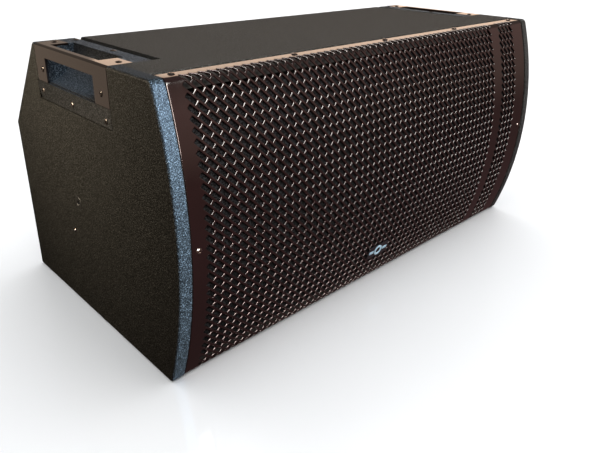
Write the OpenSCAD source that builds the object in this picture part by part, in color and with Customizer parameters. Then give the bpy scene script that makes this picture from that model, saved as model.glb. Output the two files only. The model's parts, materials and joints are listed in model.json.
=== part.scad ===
// Line array loudspeaker: plywood cabinet, curved steel grille, two woofers and a slot horn.
// Millimetres. +X to the right of the front, +Y to the back, +Z up.
// The origin is under the middle of the bounding box, on the surface it stands on.

/* [Cabinet] */
// Width over the two side panels
cab_w = 860; // [850:1:875]
// Height of the cabinet
cab_h = 413; // [410:1:420]
// Depth of the top panel's rear edge behind the front corners
top_depth = 321; // [318:1:330]
// Greatest depth behind the front corners, at the rear knee
knee_depth = 436; // [434:1:450]
// Height of the rear knee
knee_h = 269; // [262:1:275]
// Depth of the bottom panel's rear edge
bottom_depth = 431; // [429:1:433]
// How far the curved front stands out at mid height
front_bulge = 36; // [34:1:38]
// Plywood thickness
ply = 18; // [18:1:19]

/* [Grille] */
// Grille sheet thickness
grille_t = 2; // [1.5:0.5:2.5]
// How far the grille lies inside the side panels' edges
grille_inset = 1; // [0.5:0.5:4]
// Foam thickness behind the grille
foam_t = 5; // [4:1:8]

/* [Drivers] */
// Cone travel each way from rest
cone_travel = 6; // [4:1:6]
// Middle of the left woofer
woofer_left_x = -234; // [-234:1:-232]
// Middle of the right woofer
woofer_right_x = 134; // [132:1:134]
// Middle of the slot horn
horn_x = -50; // [-51:1:-49]

/* [Handles] */
// Front end of the corner grip, behind the front corners
grip_front = 98; // [96:1:100]
// Rear end of the corner grip
grip_rear = 313; // [311:1:314]
// Steel thickness of the corner grip and the handle flange
steel_t = 3; // [2.5:0.5:3]

/* [Hidden] */

$fn = 64;
hair = 0.3;             // gap between pieces that only lie beside each other

// --- frame of the cabinet ---
front_y = (front_bulge - knee_depth) / 2;
mid_z = cab_h / 2;
inner_x = cab_w / 2 - ply;
front_r = (front_bulge * front_bulge + mid_z * mid_z) / (2 * front_bulge);
front_axis_y = front_y - front_bulge + front_r;
panel_front = 28;       // front edges of the top and bottom panels
baffle_y = front_y + 22;
baffle_back = baffle_y + ply;

bottom_back = [front_y + bottom_depth, 0];
knee = [front_y + knee_depth, knee_h];
top_back = [front_y + top_depth, cab_h];
rear_lean = atan2(knee[0] - bottom_back[0], knee[1]);

function unit(v) = v / norm(v);
function left_of(v) = [-v[1], v[0]];
// Corner of the inner face between two walls of thickness t that meet at b.
function inner_corner(a, b, c, t) =
    let (u = unit(b - a), w = unit(c - b), bend = unit(left_of(u) + left_of(w)))
    b + bend * t / (bend * left_of(u));

inner_bottom_back = inner_corner([front_y, 0], bottom_back, knee, ply);
inner_knee = inner_corner(bottom_back, knee, top_back, ply);
inner_top_back = inner_corner(knee, top_back, [front_y, cab_h], ply);

// --- handles, measured on the left side and mirrored for the right ---
side_x = -cab_w / 2;
flange_rear = 317;
flange_low_z = 332;
grip_low_z = cab_h - 53.5;
grip_top_x = side_x + 37;
flange_top_x = side_x + 64.5;
groove_x = side_x + 76;
groove_depth = 10;
scoop_r = 53.5;
scoop_x = side_x - 8;
scoop_front = 137;
scoop_rear = 281;
cup_wall = 2.5;
bar_side_h = 18;
bar_top_w = 11;
flange_corner = 14;
cup_clear = 0.5;
flange_drop = 0.5;
head_r = 4.6;
head_h = 1.8;
shank_r = 2.5;
// Screws through the side leg: [distance behind the front corners, height]
side_screws = [[118, 376], [293, 378], [113, 341], [208, 343], [303, 345]];
// Screws through the top leg: [X, distance behind the front corners]
top_screws = [[-405, 112], [-405, 300], [-373, 186], [-373, 300]];

// --- rigging points on the sides ---
insert_y = front_y + 232;
insert_z = 188;
insert_bore_r = 3.4;
insert_barrel_r = 6.5;
insert_flange_r = 11;
insert_flange_t = 2;
stud_y = front_y + 255;
stud_z = 134;
stud_r = 3.2;

// --- grille ---
grille_r = front_r - grille_inset;
grille_half_w = inner_x - 1.5;
grille_z = grille_inset;
fold_back = 26;
strip_left = 389;       // inner edge of the left plain strip, from the middle
strip_right = 373;      // inner edge of the right plain strip
rib_x = 303.5;
rib_w = 15;
grille_screw_xs = [-391, -196, 0, 196, 391];
grille_screw_y = front_y + 17;
grille_side_screw_x = 400;
badge_x = -20;
badge_z = 62;
badge_w = 52;
badge_h = 24;
badge_t = 1.5;

// --- woofers: local +Z runs from the baffle's front face into the cabinet ---
basket_r = 153;
cutout_r = 141.5;
woofer_bolt_r = 148;
flange_t = 6;
cone_edge_r = 116.5;
coil_r = 38;            // inside radius of the voice coil former
former_t = 0.6;
winding_t = 0.6;
neck_z = 46;
basket_floor_z = 64;
terminal_r = 110;
plate_z = 70;
plate_t = 10;
magnet_t = 22;
magnet_r = 90;
pole_r = 37.4;
gap_r = 39.9;
roll_r = 8.3;
roll_x = 126.25;
lip_z = -flange_t - 1;

// --- horn and compression driver ---
horn_flange_w = 54;
horn_flange_h = 371;
horn_flange_t = 5;
mouth_w = 40;
throat_w = 18;
horn_h = 340;
horn_depth = 108;
horn_wall = 3;
horn_cut_w = 47;
horn_cut_h = 348;
driver_seat_t = 8;
driver_bore_r = 18;
driver_y = baffle_y + horn_depth + driver_seat_t;

// --- port, along the right end of the baffle ---
port_left = 318;
port_right = 373;
port_low = 24;
port_depth = 200;

// --- connector plate, on the lower rear panel ---
plate_x = 60;
plate_mid = 130;
plate_w = 130;
plate_h = 100;
conn_plate_t = 2.5;
plate_recess = 3;
socket_pitch = 56;
socket_bore_r = 11;
socket_bore_l = 16;
socket_body_r = 13.5;
socket_body_l = 26;
socket_flange = 32;
plate_screw_r = 2;

// --- crossover, on the bottom panel ---
board_x = -250;
board_y = front_y + 290;
board_w = 160;
board_d = 110;
board_t = 1.6;
standoff_h = 10;
board_top = ply + standoff_h + board_t;

// --- wiring: hand-set points, Y measured behind the front corners ---
wire_r = 2.5;
wire_z = 34;
wire_hole_y = 330;
wire_gap = 5;
woofer_tag_y = 80;
woofer_tag_z = mid_z - terminal_r - hair;
driver_tag_y = driver_y - front_y + 42 + hair;
INPUT_WIRE = [
    [32, 405, 130], [32, 385, 110], [32, wire_hole_y + wire_gap, wire_z],
    [-168, wire_hole_y + wire_gap, wire_z]
];
LEFT_WIRE = [
    [-200, 230, wire_z], [woofer_left_x, 200, 60], [woofer_left_x, woofer_tag_y, 60],
    [woofer_left_x, woofer_tag_y, woofer_tag_z]
];
RIGHT_WIRE = [
    [-168, wire_hole_y - wire_gap, wire_z], [100, wire_hole_y - wire_gap, wire_z],
    [woofer_right_x, 200, 60], [woofer_right_x, woofer_tag_y, 60],
    [woofer_right_x, woofer_tag_y, woofer_tag_z]
];
HORN_WIRE = [
    [-168, 270, wire_z], [-120, 240, 60], [horn_x - 53, 205, 160], [horn_x - 53, 205, mid_z],
    [horn_x - 53, driver_tag_y, mid_z]
];

// ===== helpers =====

// Extrudes a drawing made in the YZ plane from X = x0 to X = x1.
module across(x0, x1) {
    translate([x0, 0, 0]) rotate([90, 0, 90]) linear_extrude(x1 - x0) children();
}

// Puts children made on the left side on the side asked for.
module on_side(right) {
    if (right) mirror([1, 0, 0]) children();
    else children();
}

// Disc of the front curve with radius r, cut to the heights z0 to z1 and to Y below y_max.
module front_disc(r, z0, z1, y_max) {
    intersection() {
        translate([front_axis_y, mid_z]) circle(r, $fn = 180);
        translate([front_y - front_bulge - 10, z0]) square([y_max - front_y + front_bulge + 10, z1 - z0]);
    }
}

// Screw with a round head and a hexagon socket; the head stands on Z = 0 and the shank goes down.
module button_screw(head, height, shank, length, socket) {
    difference() {
        union() {
            cylinder(r = head, h = height * 0.55);
            translate([0, 0, height * 0.55]) cylinder(r1 = head, r2 = head * 0.7, h = height * 0.45);
            translate([0, 0, -length]) cylinder(r = shank, h = length);
        }
        translate([0, 0, height * 0.35]) cylinder(r = socket, h = height, $fn = 6);
    }
}

module at_woofer(x) {
    translate([x, baffle_y, mid_z]) rotate([-90, 0, 0]) children();
}

// Local +Z points out of the lower rear panel; the local origin is on its face.
module on_rear_lower(x, z) {
    translate([0, bottom_back[0], 0]) rotate([-rear_lean, 0, 0])
        translate([x, 0, z]) rotate([-90, 0, 0]) children();
}

// ===== cabinet =====

module wall(points) {
    across(-inner_x, inner_x) polygon(points);
}

module side_outline() {
    intersection() {
        translate([front_axis_y, mid_z]) circle(front_r, $fn = 180);
        polygon([
            [front_y - front_bulge - 10, 0], bottom_back, knee, top_back,
            [front_y - front_bulge - 10, cab_h]
        ]);
    }
}

// Space that the left handle cup, its flange and the grip take out of the panels.
module handle_space() {
    reach = 8;
    // scoop
    translate([scoop_x, front_y + scoop_front - cup_wall - cup_clear, cab_h]) rotate([-90, 0, 0])
        cylinder(r = scoop_r + cup_wall + cup_clear,
            h = scoop_rear - scoop_front + 2 * (cup_wall + cup_clear));
    // flange below the grip, and the grip's two legs
    translate([side_x - reach, front_y + grip_front - cup_clear, flange_low_z - cup_clear])
        cube([reach + steel_t, flange_rear - grip_front + 2 * cup_clear, grip_low_z - flange_low_z]);
    grip_envelope(cup_clear);
    // flange beside the grip, and the open groove
    translate([grip_top_x, front_y + grip_front - cup_clear, cab_h - steel_t])
        cube([groove_x - grip_top_x, cab_h, reach + steel_t]);
    translate([flange_top_x, front_y + grip_front - cup_clear, cab_h - groove_depth])
        cube([groove_x - flange_top_x, cab_h, reach + groove_depth]);
}

// Holes for the left handle's screws.
module handle_screw_holes() {
    hole_r = shank_r + 0.1;
    for (p = side_screws)
        translate([side_x - 1, front_y + p[0], p[1]]) rotate([0, 90, 0]) cylinder(r = hole_r, h = 16);
    for (p = top_screws)
        translate([p[0], front_y + p[1], cab_h - 15]) cylinder(r = hole_r, h = 16);
}

module both_handle_spaces() {
    for (right = [false, true]) on_side(right) {
        handle_space();
        handle_screw_holes();
    }
}

module top_panel() {
    color([0.16, 0.16, 0.14]) difference() {
        wall([
            [front_y + panel_front, cab_h - ply], inner_top_back, top_back, [front_y + panel_front, cab_h]
        ]);
        both_handle_spaces();
    }
}

module bottom_panel() {
    color([0.16, 0.16, 0.14]) difference() {
        wall([[front_y + panel_front, 0], bottom_back, inner_bottom_back, [front_y + panel_front, ply]]);
        standoff_places(ply - 8) cylinder(r = 1.6, h = 9);
    }
}

module rear_upper_panel() {
    color([0.15, 0.15, 0.14]) difference() {
        wall([knee, top_back, inner_top_back, inner_knee]);
        both_handle_spaces();
    }
}

module rear_lower_panel() {
    color([0.15, 0.15, 0.14]) difference() {
        wall([bottom_back, knee, inner_knee, inner_bottom_back]);
        on_rear_lower(plate_x, plate_mid) {
            translate([-plate_w / 2 - 0.5, -plate_h / 2 - 0.5, -plate_recess])
                cube([plate_w + 1, plate_h + 1, plate_recess + 5]);
            translate([-50, -22, -ply - 5]) cube([100, 44, ply + 10]);
            plate_screw_places() translate([0, 0, -15]) cylinder(r = plate_screw_r + 0.1, h = 15);
        }
    }
}

module side_panel(right) {
    color([0.17, 0.17, 0.15]) on_side(right) difference() {
        across(side_x, -inner_x) side_outline();
        handle_space();
        handle_screw_holes();
        translate([side_x - 1, insert_y, insert_z]) rotate([0, 90, 0]) {
            cylinder(r = insert_flange_r + 0.1, h = insert_flange_t + 1);
            cylinder(r = insert_barrel_r + 0.1, h = ply + 2);
        }
        translate([side_x - 1, stud_y, stud_z]) rotate([0, 90, 0]) cylinder(r = 1.6, h = 14);
    }
}

module front_baffle() {
    color([0.08, 0.08, 0.08]) difference() {
        translate([-inner_x, baffle_y, ply]) cube([2 * inner_x, ply, cab_h - 2 * ply]);
        for (x = [woofer_left_x, woofer_right_x]) at_woofer(x) {
            translate([0, 0, -1]) cylinder(r = cutout_r, h = ply + 2);
            woofer_bolt_places() translate([0, 0, -1]) cylinder(r = 2.1, h = 15);
        }
        translate([horn_x - horn_cut_w / 2, baffle_y - 1, mid_z - horn_cut_h / 2])
            cube([horn_cut_w, ply + 2, horn_cut_h]);
        horn_screw_places() translate([0, 0, -1]) cylinder(r = 1.1, h = 15);
        translate([port_left, baffle_y - 1, port_low])
            cube([port_right - port_left, ply + 2, cab_h - 2 * port_low]);
    }
}

module rear_brace() {
    window_y = front_y + 262;
    color([0.62, 0.48, 0.32]) difference() {
        intersection() {
            across(horn_x - ply / 2, horn_x + ply / 2)
                polygon([
                    [front_y + 220, ply], inner_bottom_back, inner_knee, inner_top_back,
                    [front_y + 220, cab_h - ply]
                ]);
            translate([-inner_x, front_y, ply]) cube([2 * inner_x, knee_depth, cab_h - 2 * ply]);
        }
        for (z = [60, 215])
            translate([horn_x - ply, window_y, z]) cube([2 * ply, 70, 105]);
        translate([horn_x - ply, front_y + wire_hole_y, wire_z]) rotate([0, 90, 0])
            cylinder(r = 12, h = 2 * ply);
    }
}

module port_wall(x) {
    color([0.62, 0.48, 0.32]) difference() {
        translate([x, baffle_back, ply]) cube([ply, port_depth, cab_h - 2 * ply]);
        on_side(true) handle_space();
    }
}

// Wadding against the inside of the lower rear panel, open round the connectors and the brace.
module damping_lining() {
    thick = 20;
    color([0.75, 0.74, 0.70]) difference() {
        translate([0, bottom_back[0], 0]) rotate([-rear_lean, 0, 0])
            translate([-390, -ply - thick - hair, 30]) cube([680, thick, 205]);
        on_rear_lower(plate_x, plate_mid)
            translate([-65, -50, -60]) cube([130, 100, 60]);
        translate([horn_x - ply / 2 - 2, front_y, 0]) cube([ply + 4, knee_depth, cab_h]);
    }
}

// ===== grille and what holds it =====

module batten(x0, x1) {
    across(x0, x1) front_disc(grille_r - grille_t - hair, ply, cab_h - ply, baffle_y);
}

module left_grille_batten() {
    color([0.10, 0.10, 0.10]) difference() {
        batten(-inner_x, -strip_left);
        side_screw_holes(-1);
    }
}

module right_grille_batten() {
    color([0.10, 0.10, 0.10]) difference() {
        batten(strip_right, inner_x);
        side_screw_holes(1);
    }
}

module grille_rib() {
    color([0.10, 0.10, 0.10]) batten(rib_x - rib_w / 2, rib_x + rib_w / 2);
}

module grille_rail(z) {
    height = ply - grille_z - grille_t - hair;
    color([0.10, 0.10, 0.10]) difference() {
        translate([-inner_x, front_y + 6, z]) cube([2 * inner_x, panel_front - 6, height]);
        top_grille_screw_holes();
    }
}

module side_screw_holes(side) {
    translate([side * grille_side_screw_x, front_y - front_bulge - 1, mid_z]) rotate([-90, 0, 0])
        cylinder(r = shank_r + 0.1, h = 20);
}

module top_grille_screw_holes() {
    for (x = grille_screw_xs)
        translate([x, grille_screw_y, cab_h - 16]) cylinder(r = shank_r + 0.1, h = 17);
}

// Curved sheet with its top and bottom edges folded back.
module front_grille() {
    color([0.07, 0.06, 0.06]) difference() {
        across(-grille_half_w, grille_half_w) difference() {
            front_disc(grille_r, grille_z, cab_h - grille_z, front_y + fold_back);
            front_disc(grille_r - grille_t, grille_z + grille_t, cab_h - grille_z - grille_t,
                front_y + fold_back + 1);
        }
        for (side = [-1, 1]) side_screw_holes(side);
        top_grille_screw_holes();
    }
}

module foam_sheet(x0, x1) {
    foam_r = grille_r - grille_t - hair;
    across(x0, x1) difference() {
        front_disc(foam_r, ply + 2, cab_h - ply - 2, front_y + 4);
        front_disc(foam_r - foam_t, ply, cab_h - ply, front_y + 5);
    }
}

module grille_foam() {
    color([0.13, 0.13, 0.14]) {
        foam_sheet(-strip_left + hair, rib_x - rib_w / 2 - hair);
        foam_sheet(rib_x + rib_w / 2 + hair, strip_right - hair);
    }
}

module grille_screws() {
    color([0.55, 0.53, 0.52]) {
        for (x = grille_screw_xs)
            translate([x, grille_screw_y, cab_h - grille_z])
                button_screw(head_r, head_h, shank_r, 12, 2.2);
        for (side = [-1, 1])
            translate([side * grille_side_screw_x, front_axis_y - grille_r, mid_z]) rotate([90, 0, 0])
                button_screw(head_r, head_h, shank_r, 16, 2.2);
    }
}

// Small plate with a plain ring and bar, lying against the grille.
module badge() {
    tilt = asin((badge_z - mid_z) / grille_r);
    lift = 0.3;
    translate([badge_x, front_axis_y, mid_z]) rotate([-tilt, 0, 0]) translate([0, -grille_r - lift, 0])
        rotate([90, 0, 0]) {
            color([0.05, 0.05, 0.06]) translate([-badge_w / 2, -badge_h / 2, 0])
                cube([badge_w, badge_h, badge_t - 0.5]);
            color([0.62, 0.68, 0.76]) difference() {
                cylinder(r = 8.5, h = badge_t);
                translate([0, 0, -1]) cylinder(r = 6, h = 4);
            }
            color([0.62, 0.68, 0.76]) for (side = [-1, 1])
                translate([side * 17 - 5, -1.5, 0]) cube([10, 3, badge_t]);
        }
}

// ===== handles =====

// Quarter-round scoop with closed ends, and the flanges below and beside it.
module handle_cup(right) {
    y0 = front_y + scoop_front;
    length = scoop_rear - scoop_front;
    color([0.16, 0.17, 0.18]) on_side(right) difference() {
        union() {
            intersection() {
                translate([scoop_x, y0 - cup_wall, cab_h]) rotate([-90, 0, 0])
                    cylinder(r = scoop_r + cup_wall, h = length + 2 * cup_wall);
                translate([side_x + flange_drop, y0 - cup_wall, cab_h - 80])
                    cube([80, length + 2 * cup_wall, 80 - flange_drop]);
            }
            side_flange();
            translate([grip_top_x + hair, front_y + grip_front, cab_h - steel_t])
                cube([flange_top_x - grip_top_x - hair, top_depth - grip_front, steel_t - flange_drop]);
        }
        translate([scoop_x, y0, cab_h]) rotate([-90, 0, 0]) cylinder(r = scoop_r, h = length);
        grip_envelope(hair);
        handle_screw_holes();
    }
}

// Strip of flange under the grip, with its rear lower corner cut off round.
module side_flange() {
    thick = steel_t - flange_drop;
    z_top = grip_low_z - hair;
    translate([side_x + flange_drop, 0, 0]) rotate([90, 0, 90]) linear_extrude(thick) union() {
        translate([front_y + grip_front, flange_low_z])
            square([flange_rear - grip_front - flange_corner, z_top - flange_low_z]);
        translate([front_y + grip_front, flange_low_z + flange_corner])
            square([flange_rear - grip_front, z_top - flange_low_z - flange_corner]);
        translate([front_y + flange_rear - flange_corner, flange_low_z + flange_corner])
            circle(flange_corner);
    }
}

// The two legs of the corner grip as plain slabs, grown by a gap.
module grip_envelope(gap) {
    length = grip_rear - grip_front;
    translate([side_x - 1, front_y + grip_front - gap, grip_low_z - gap])
        cube([steel_t + 1 + gap, length + 2 * gap, cab_h - grip_low_z + gap + 1]);
    translate([side_x - 1, front_y + grip_front - gap, cab_h - steel_t - gap])
        cube([grip_top_x - side_x + 1 + gap, length + 2 * gap, steel_t + gap + 1]);
}

// Bent steel angle that wraps the upper edge; its middle is cut away to leave a bar to hold.
module corner_grip(right) {
    length = grip_rear - grip_front;
    bend_r = 4;
    color([0.10, 0.08, 0.07]) on_side(right) difference() {
        translate([0, front_y + grip_front, 0]) rotate([90, 0, 0]) mirror([0, 0, 1])
            linear_extrude(length) difference() {
                union() {
                    translate([side_x, grip_low_z])
                        square([grip_top_x - side_x, cab_h - bend_r - grip_low_z]);
                    translate([side_x + bend_r, grip_low_z])
                        square([grip_top_x - side_x - bend_r, cab_h - grip_low_z]);
                    translate([side_x + bend_r, cab_h - bend_r]) circle(bend_r);
                }
                translate([side_x + steel_t, grip_low_z - 1])
                    square([grip_top_x - side_x, cab_h - grip_low_z - steel_t + 1]);
            }
        translate([side_x - 1, front_y + scoop_front, grip_low_z - 1])
            cube([steel_t + 2, scoop_rear - scoop_front, cab_h - bar_side_h - grip_low_z + 1]);
        translate([side_x + bar_top_w, front_y + scoop_front, cab_h - 5])
            cube([grip_top_x - side_x, scoop_rear - scoop_front, 10]);
        handle_screw_holes();
    }
}

module handle_screws(right) {
    length = 12;
    color([0.40, 0.37, 0.35]) on_side(right) {
        for (p = side_screws) {
            drop = p[1] > grip_low_z ? 0 : flange_drop;
            translate([side_x + drop, front_y + p[0], p[1]]) rotate([0, -90, 0])
                button_screw(head_r, head_h, shank_r, length, 2.2);
        }
        for (p = top_screws) {
            drop = p[0] < grip_top_x ? 0 : flange_drop;
            translate([p[0], front_y + p[1], cab_h - drop])
                button_screw(head_r, head_h, shank_r, length, 2.2);
        }
    }
}

// ===== rigging points =====

module rigging_insert(right) {
    color([0.25, 0.25, 0.24]) on_side(right)
        translate([side_x, insert_y, insert_z]) rotate([0, 90, 0]) difference() {
            union() {
                cylinder(r = insert_flange_r, h = insert_flange_t);
                cylinder(r = insert_barrel_r, h = ply);
            }
            translate([0, 0, -1]) cylinder(r = insert_bore_r, h = ply + 2);
        }
}

module side_stud_screws() {
    color([0.5, 0.5, 0.48]) for (right = [false, true]) on_side(right)
        translate([side_x, stud_y, stud_z]) rotate([0, -90, 0]) button_screw(stud_r, 1.4, 1.5, 12, 1.3);
}

// ===== woofers =====

module woofer_bolt_places() {
    for (i = [0:7]) rotate([0, 0, 22.5 + 45 * i]) translate([woofer_bolt_r, 0, 0]) children();
}

// Cast frame: flange, sloping wall with windows, floor that carries the motor.
module woofer_basket(x) {
    color([0.20, 0.20, 0.21]) at_woofer(x) difference() {
        union() {
            rotate_extrude() polygon([
                [136, -flange_t], [basket_r, -flange_t], [basket_r, 0], [140.5, 0], [140.5, 6],
                [98, 62], [98, plate_z], [gap_r + 5, plate_z], [gap_r + 5, basket_floor_z],
                [92, basket_floor_z], [92, 60], [134, 4], [134, -2], [136, -2]
            ]);
            // terminal block on the underside
            translate([-10, 96, 54]) cube([20, terminal_r - 96, 10]);
        }
        for (i = [0:5]) rotate([0, 0, 60 * i]) translate([70, -30, 12]) cube([90, 60, 30]);
        woofer_bolt_places() translate([0, 0, -10]) cylinder(r = 2.1, h = 20);
    }
}

module woofer_gasket(x) {
    color([0.07, 0.07, 0.07]) at_woofer(x) rotate_extrude()
        translate([136.5, lip_z - 3]) square([6.5, 3]);
}

// Half roll with a lip on the frame and a lip beside the cone's edge.
module woofer_surround(x) {
    skin = 1.1;
    color([0.10, 0.10, 0.10]) at_woofer(x) rotate_extrude() union() {
        intersection() {
            translate([roll_x, -flange_t - 0.5]) difference() {
                circle(roll_r);
                circle(roll_r - skin);
            }
            translate([roll_x - 20, -flange_t - 30]) square([40, 29.5]);
        }
        translate([roll_x + roll_r - skin, lip_z]) square([9, 1]);
        translate([cone_edge_r + 0.4, lip_z]) square([roll_x - roll_r + skin - cone_edge_r - 0.4, 1]);
    }
}

// Corrugated disc that centres the voice coil.
module woofer_spider(x) {
    cloth = 0.8;
    rings = 5;
    front_z = 55.8;
    wave = 1.6;
    first = coil_r + former_t + 0.4;
    step = (93.5 - first) / rings;
    color([0.75, 0.62, 0.30]) at_woofer(x) rotate_extrude() union() {
        for (i = [0:rings - 1])
            translate([first + i * step, front_z + (i % 2) * wave])
                square([step + (i < rings - 1 ? cloth : 0), cloth]);
        for (i = [1:rings - 1]) translate([first + i * step, front_z]) square([cloth, wave + cloth]);
    }
}

module woofer_cone(x) {
    skin = 1.8;
    inner = coil_r + former_t + 0.05;
    color([0.12, 0.12, 0.13]) at_woofer(x) rotate_extrude() polygon([
        [cone_edge_r, -flange_t], [cone_edge_r, -flange_t + skin], [inner, neck_z + skin], [inner, neck_z]
    ]);
}

module woofer_dust_cap(x) {
    rim_r = 48;
    rise = 18;
    slope = (neck_z + flange_t) / (cone_edge_r - coil_r - former_t);
    rim_z = -flange_t + (cone_edge_r - rim_r) * slope;
    dome_r = (rim_r * rim_r + rise * rise) / (2 * rise);
    color([0.09, 0.09, 0.10]) at_woofer(x) rotate_extrude() intersection() {
        translate([0, rim_z - rise + dome_r]) difference() {
            circle(dome_r);
            circle(dome_r - 1.2);
        }
        translate([0, rim_z - rise - 1]) square([rim_r, rise + 0.4]);
    }
}

// Former tube and the winding round its rear end.
module woofer_voice_coil(x) {
    color([0.72, 0.42, 0.20]) at_woofer(x) rotate_extrude() union() {
        translate([coil_r, neck_z - 4]) square([former_t, 44]);
        translate([coil_r + former_t, plate_z - 4]) square([winding_t, plate_t + 8]);
    }
}

module woofer_magnet(x) {
    color([0.22, 0.22, 0.23]) at_woofer(x) translate([0, 0, plate_z + plate_t]) difference() {
        cylinder(r = magnet_r, h = magnet_t);
        translate([0, 0, -1]) cylinder(r = 50, h = magnet_t + 2);
    }
}

// Front plate, and the back plate with its vented pole.
module woofer_yoke(x) {
    back_z = plate_z + plate_t + magnet_t;
    color([0.55, 0.55, 0.56]) at_woofer(x) {
        translate([0, 0, plate_z]) difference() {
            cylinder(r = magnet_r - 5, h = plate_t);
            translate([0, 0, -1]) cylinder(r = gap_r, h = plate_t + 2);
        }
        difference() {
            union() {
                translate([0, 0, back_z]) cylinder(r = magnet_r - 5, h = plate_t);
                translate([0, 0, plate_z]) cylinder(r = pole_r, h = back_z - plate_z + plate_t);
            }
            translate([0, 0, plate_z - 1]) cylinder(r = 12, h = 60);
        }
    }
}

module woofer_screws() {
    color([0.3, 0.3, 0.3]) for (x = [woofer_left_x, woofer_right_x])
        at_woofer(x) woofer_bolt_places() translate([0, 0, -flange_t]) mirror([0, 0, 1])
            button_screw(4, 2.6, 2, flange_t + 12, 1.7);
}

// ===== horn =====

module horn_screw_places() {
    for (side = [-1, 1], i = [-2:2])
        translate([horn_x + side * (horn_flange_w / 2 - 1.7), baffle_y, mid_z + i * 84]) rotate([-90, 0, 0])
            children();
}

// Tall slot waveguide: flared cheeks, end plates, flange and driver seat.
module horn_waveguide() {
    outer_mouth = mouth_w / 2 + horn_wall;
    outer_throat = throat_w / 2 + horn_wall;
    back = horn_depth - horn_flange_t;
    color([0.12, 0.12, 0.12]) translate([horn_x, baffle_y, mid_z]) difference() {
        union() {
            translate([-horn_flange_w / 2, -horn_flange_t, -horn_flange_h / 2])
                cube([horn_flange_w, horn_flange_t, horn_flange_h]);
            translate([0, 0, -horn_h / 2]) linear_extrude(horn_h) polygon([
                [-outer_mouth, -1], [outer_mouth, -1], [outer_throat, back + horn_flange_t],
                [-outer_throat, back + horn_flange_t]
            ]);
            translate([-45, horn_depth, -45]) cube([90, driver_seat_t, 90]);
        }
        translate([0, 0, -horn_h / 2 + horn_wall]) linear_extrude(horn_h - 2 * horn_wall) polygon([
            [-mouth_w / 2, -horn_flange_t - 1], [mouth_w / 2, -horn_flange_t - 1],
            [throat_w / 2, horn_depth - horn_wall], [-throat_w / 2, horn_depth - horn_wall]
        ]);
        rotate([-90, 0, 0]) cylinder(r = driver_bore_r / 2, h = 200);
        translate([0, horn_depth, 0]) rotate([-90, 0, 0]) cylinder(r = driver_bore_r, h = 50);
        translate([-horn_x, -baffle_y, -mid_z]) horn_screw_places()
            translate([0, 0, -10]) cylinder(r = 1.1, h = 20);
    }
}

module compression_driver() {
    color([0.16, 0.16, 0.17]) translate([horn_x, driver_y, mid_z]) rotate([-90, 0, 0]) difference() {
        union() {
            cylinder(r = 50, h = 8);
            translate([0, 0, 8]) cylinder(r = 60, h = 34);
            translate([0, 0, 42]) cylinder(r = 46, h = 12);
        }
        translate([0, 0, -1]) cylinder(r = driver_bore_r, h = 20);
    }
}

module horn_screws() {
    color([0.3, 0.3, 0.3]) horn_screw_places() translate([0, 0, -horn_flange_t]) mirror([0, 0, 1])
        button_screw(1.6, 1.2, 1, horn_flange_t + 12, 0.7);
}

// ===== crossover =====

module standoff_places(z) {
    for (sx = [-1, 1], sy = [-1, 1])
        translate([board_x + sx * (board_w / 2 - 8), board_y + sy * (board_d / 2 - 8), z]) children();
}

module crossover_board() {
    color([0.10, 0.30, 0.16]) difference() {
        translate([board_x - board_w / 2, board_y - board_d / 2, ply + standoff_h])
            cube([board_w, board_d, board_t]);
        standoff_places(ply + standoff_h - 1) cylinder(r = 1.6, h = 4);
    }
}

module crossover_standoffs() {
    color([0.75, 0.65, 0.35]) standoff_places(ply) {
        cylinder(r = 3.5, h = standoff_h);
        translate([0, 0, -7]) cylinder(r = 1.5, h = 7);
        translate([0, 0, standoff_h]) cylinder(r = 1.5, h = board_t);
        translate([0, 0, standoff_h + board_t]) cylinder(r = 3, h = 2);
    }
}

module crossover_inductors() {
    color([0.70, 0.38, 0.18]) for (dx = [-48, 8])
        translate([board_x + dx, board_y - 18, board_top]) difference() {
            cylinder(r = 24, h = 22);
            translate([0, 0, -1]) cylinder(r = 11, h = 24);
        }
}

module crossover_capacitors() {
    color([0.20, 0.25, 0.55]) for (i = [0:2])
        translate([board_x - 55 + i * 42, board_y + 30, board_top + 9.2]) rotate([0, 90, 0])
            cylinder(r = 9, h = 34);
}

// ===== connectors =====

module plate_screw_places() {
    for (sx = [-1, 1], sy = [-1, 0, 1])
        translate([sx * (plate_w / 2 - 8), sy * (plate_h / 2 - 8), 0]) children();
}

module connector_plate() {
    color([0.13, 0.13, 0.13]) on_rear_lower(plate_x, plate_mid) difference() {
        translate([-plate_w / 2, -plate_h / 2, -plate_recess]) cube([plate_w, plate_h, conn_plate_t]);
        for (side = [-1, 1])
            translate([side * socket_pitch / 2, 0, -10]) cylinder(r = socket_body_r + 0.2, h = 20);
        plate_screw_places() translate([0, 0, -10]) cylinder(r = plate_screw_r + 0.1, h = 20);
    }
}

module connector_plate_screws() {
    color([0.3, 0.3, 0.3]) on_rear_lower(plate_x, plate_mid) plate_screw_places()
        translate([0, 0, conn_plate_t - plate_recess]) button_screw(4, 1.8, plate_screw_r, 14, 1.5);
}

// Round speaker socket with a square flange and a keyed bore.
module socket(side) {
    color([0.10, 0.12, 0.22]) on_rear_lower(plate_x + side * socket_pitch / 2, plate_mid)
        translate([0, 0, conn_plate_t - plate_recess]) difference() {
            union() {
                translate([-socket_flange / 2, -socket_flange / 2, 0])
                    cube([socket_flange, socket_flange, 2]);
                translate([0, 0, -socket_body_l]) cylinder(r = socket_body_r, h = socket_body_l);
            }
            translate([0, 0, 2 - socket_bore_l]) cylinder(r = socket_bore_r, h = socket_bore_l + 1);
        }
}

// ===== wiring =====

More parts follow.
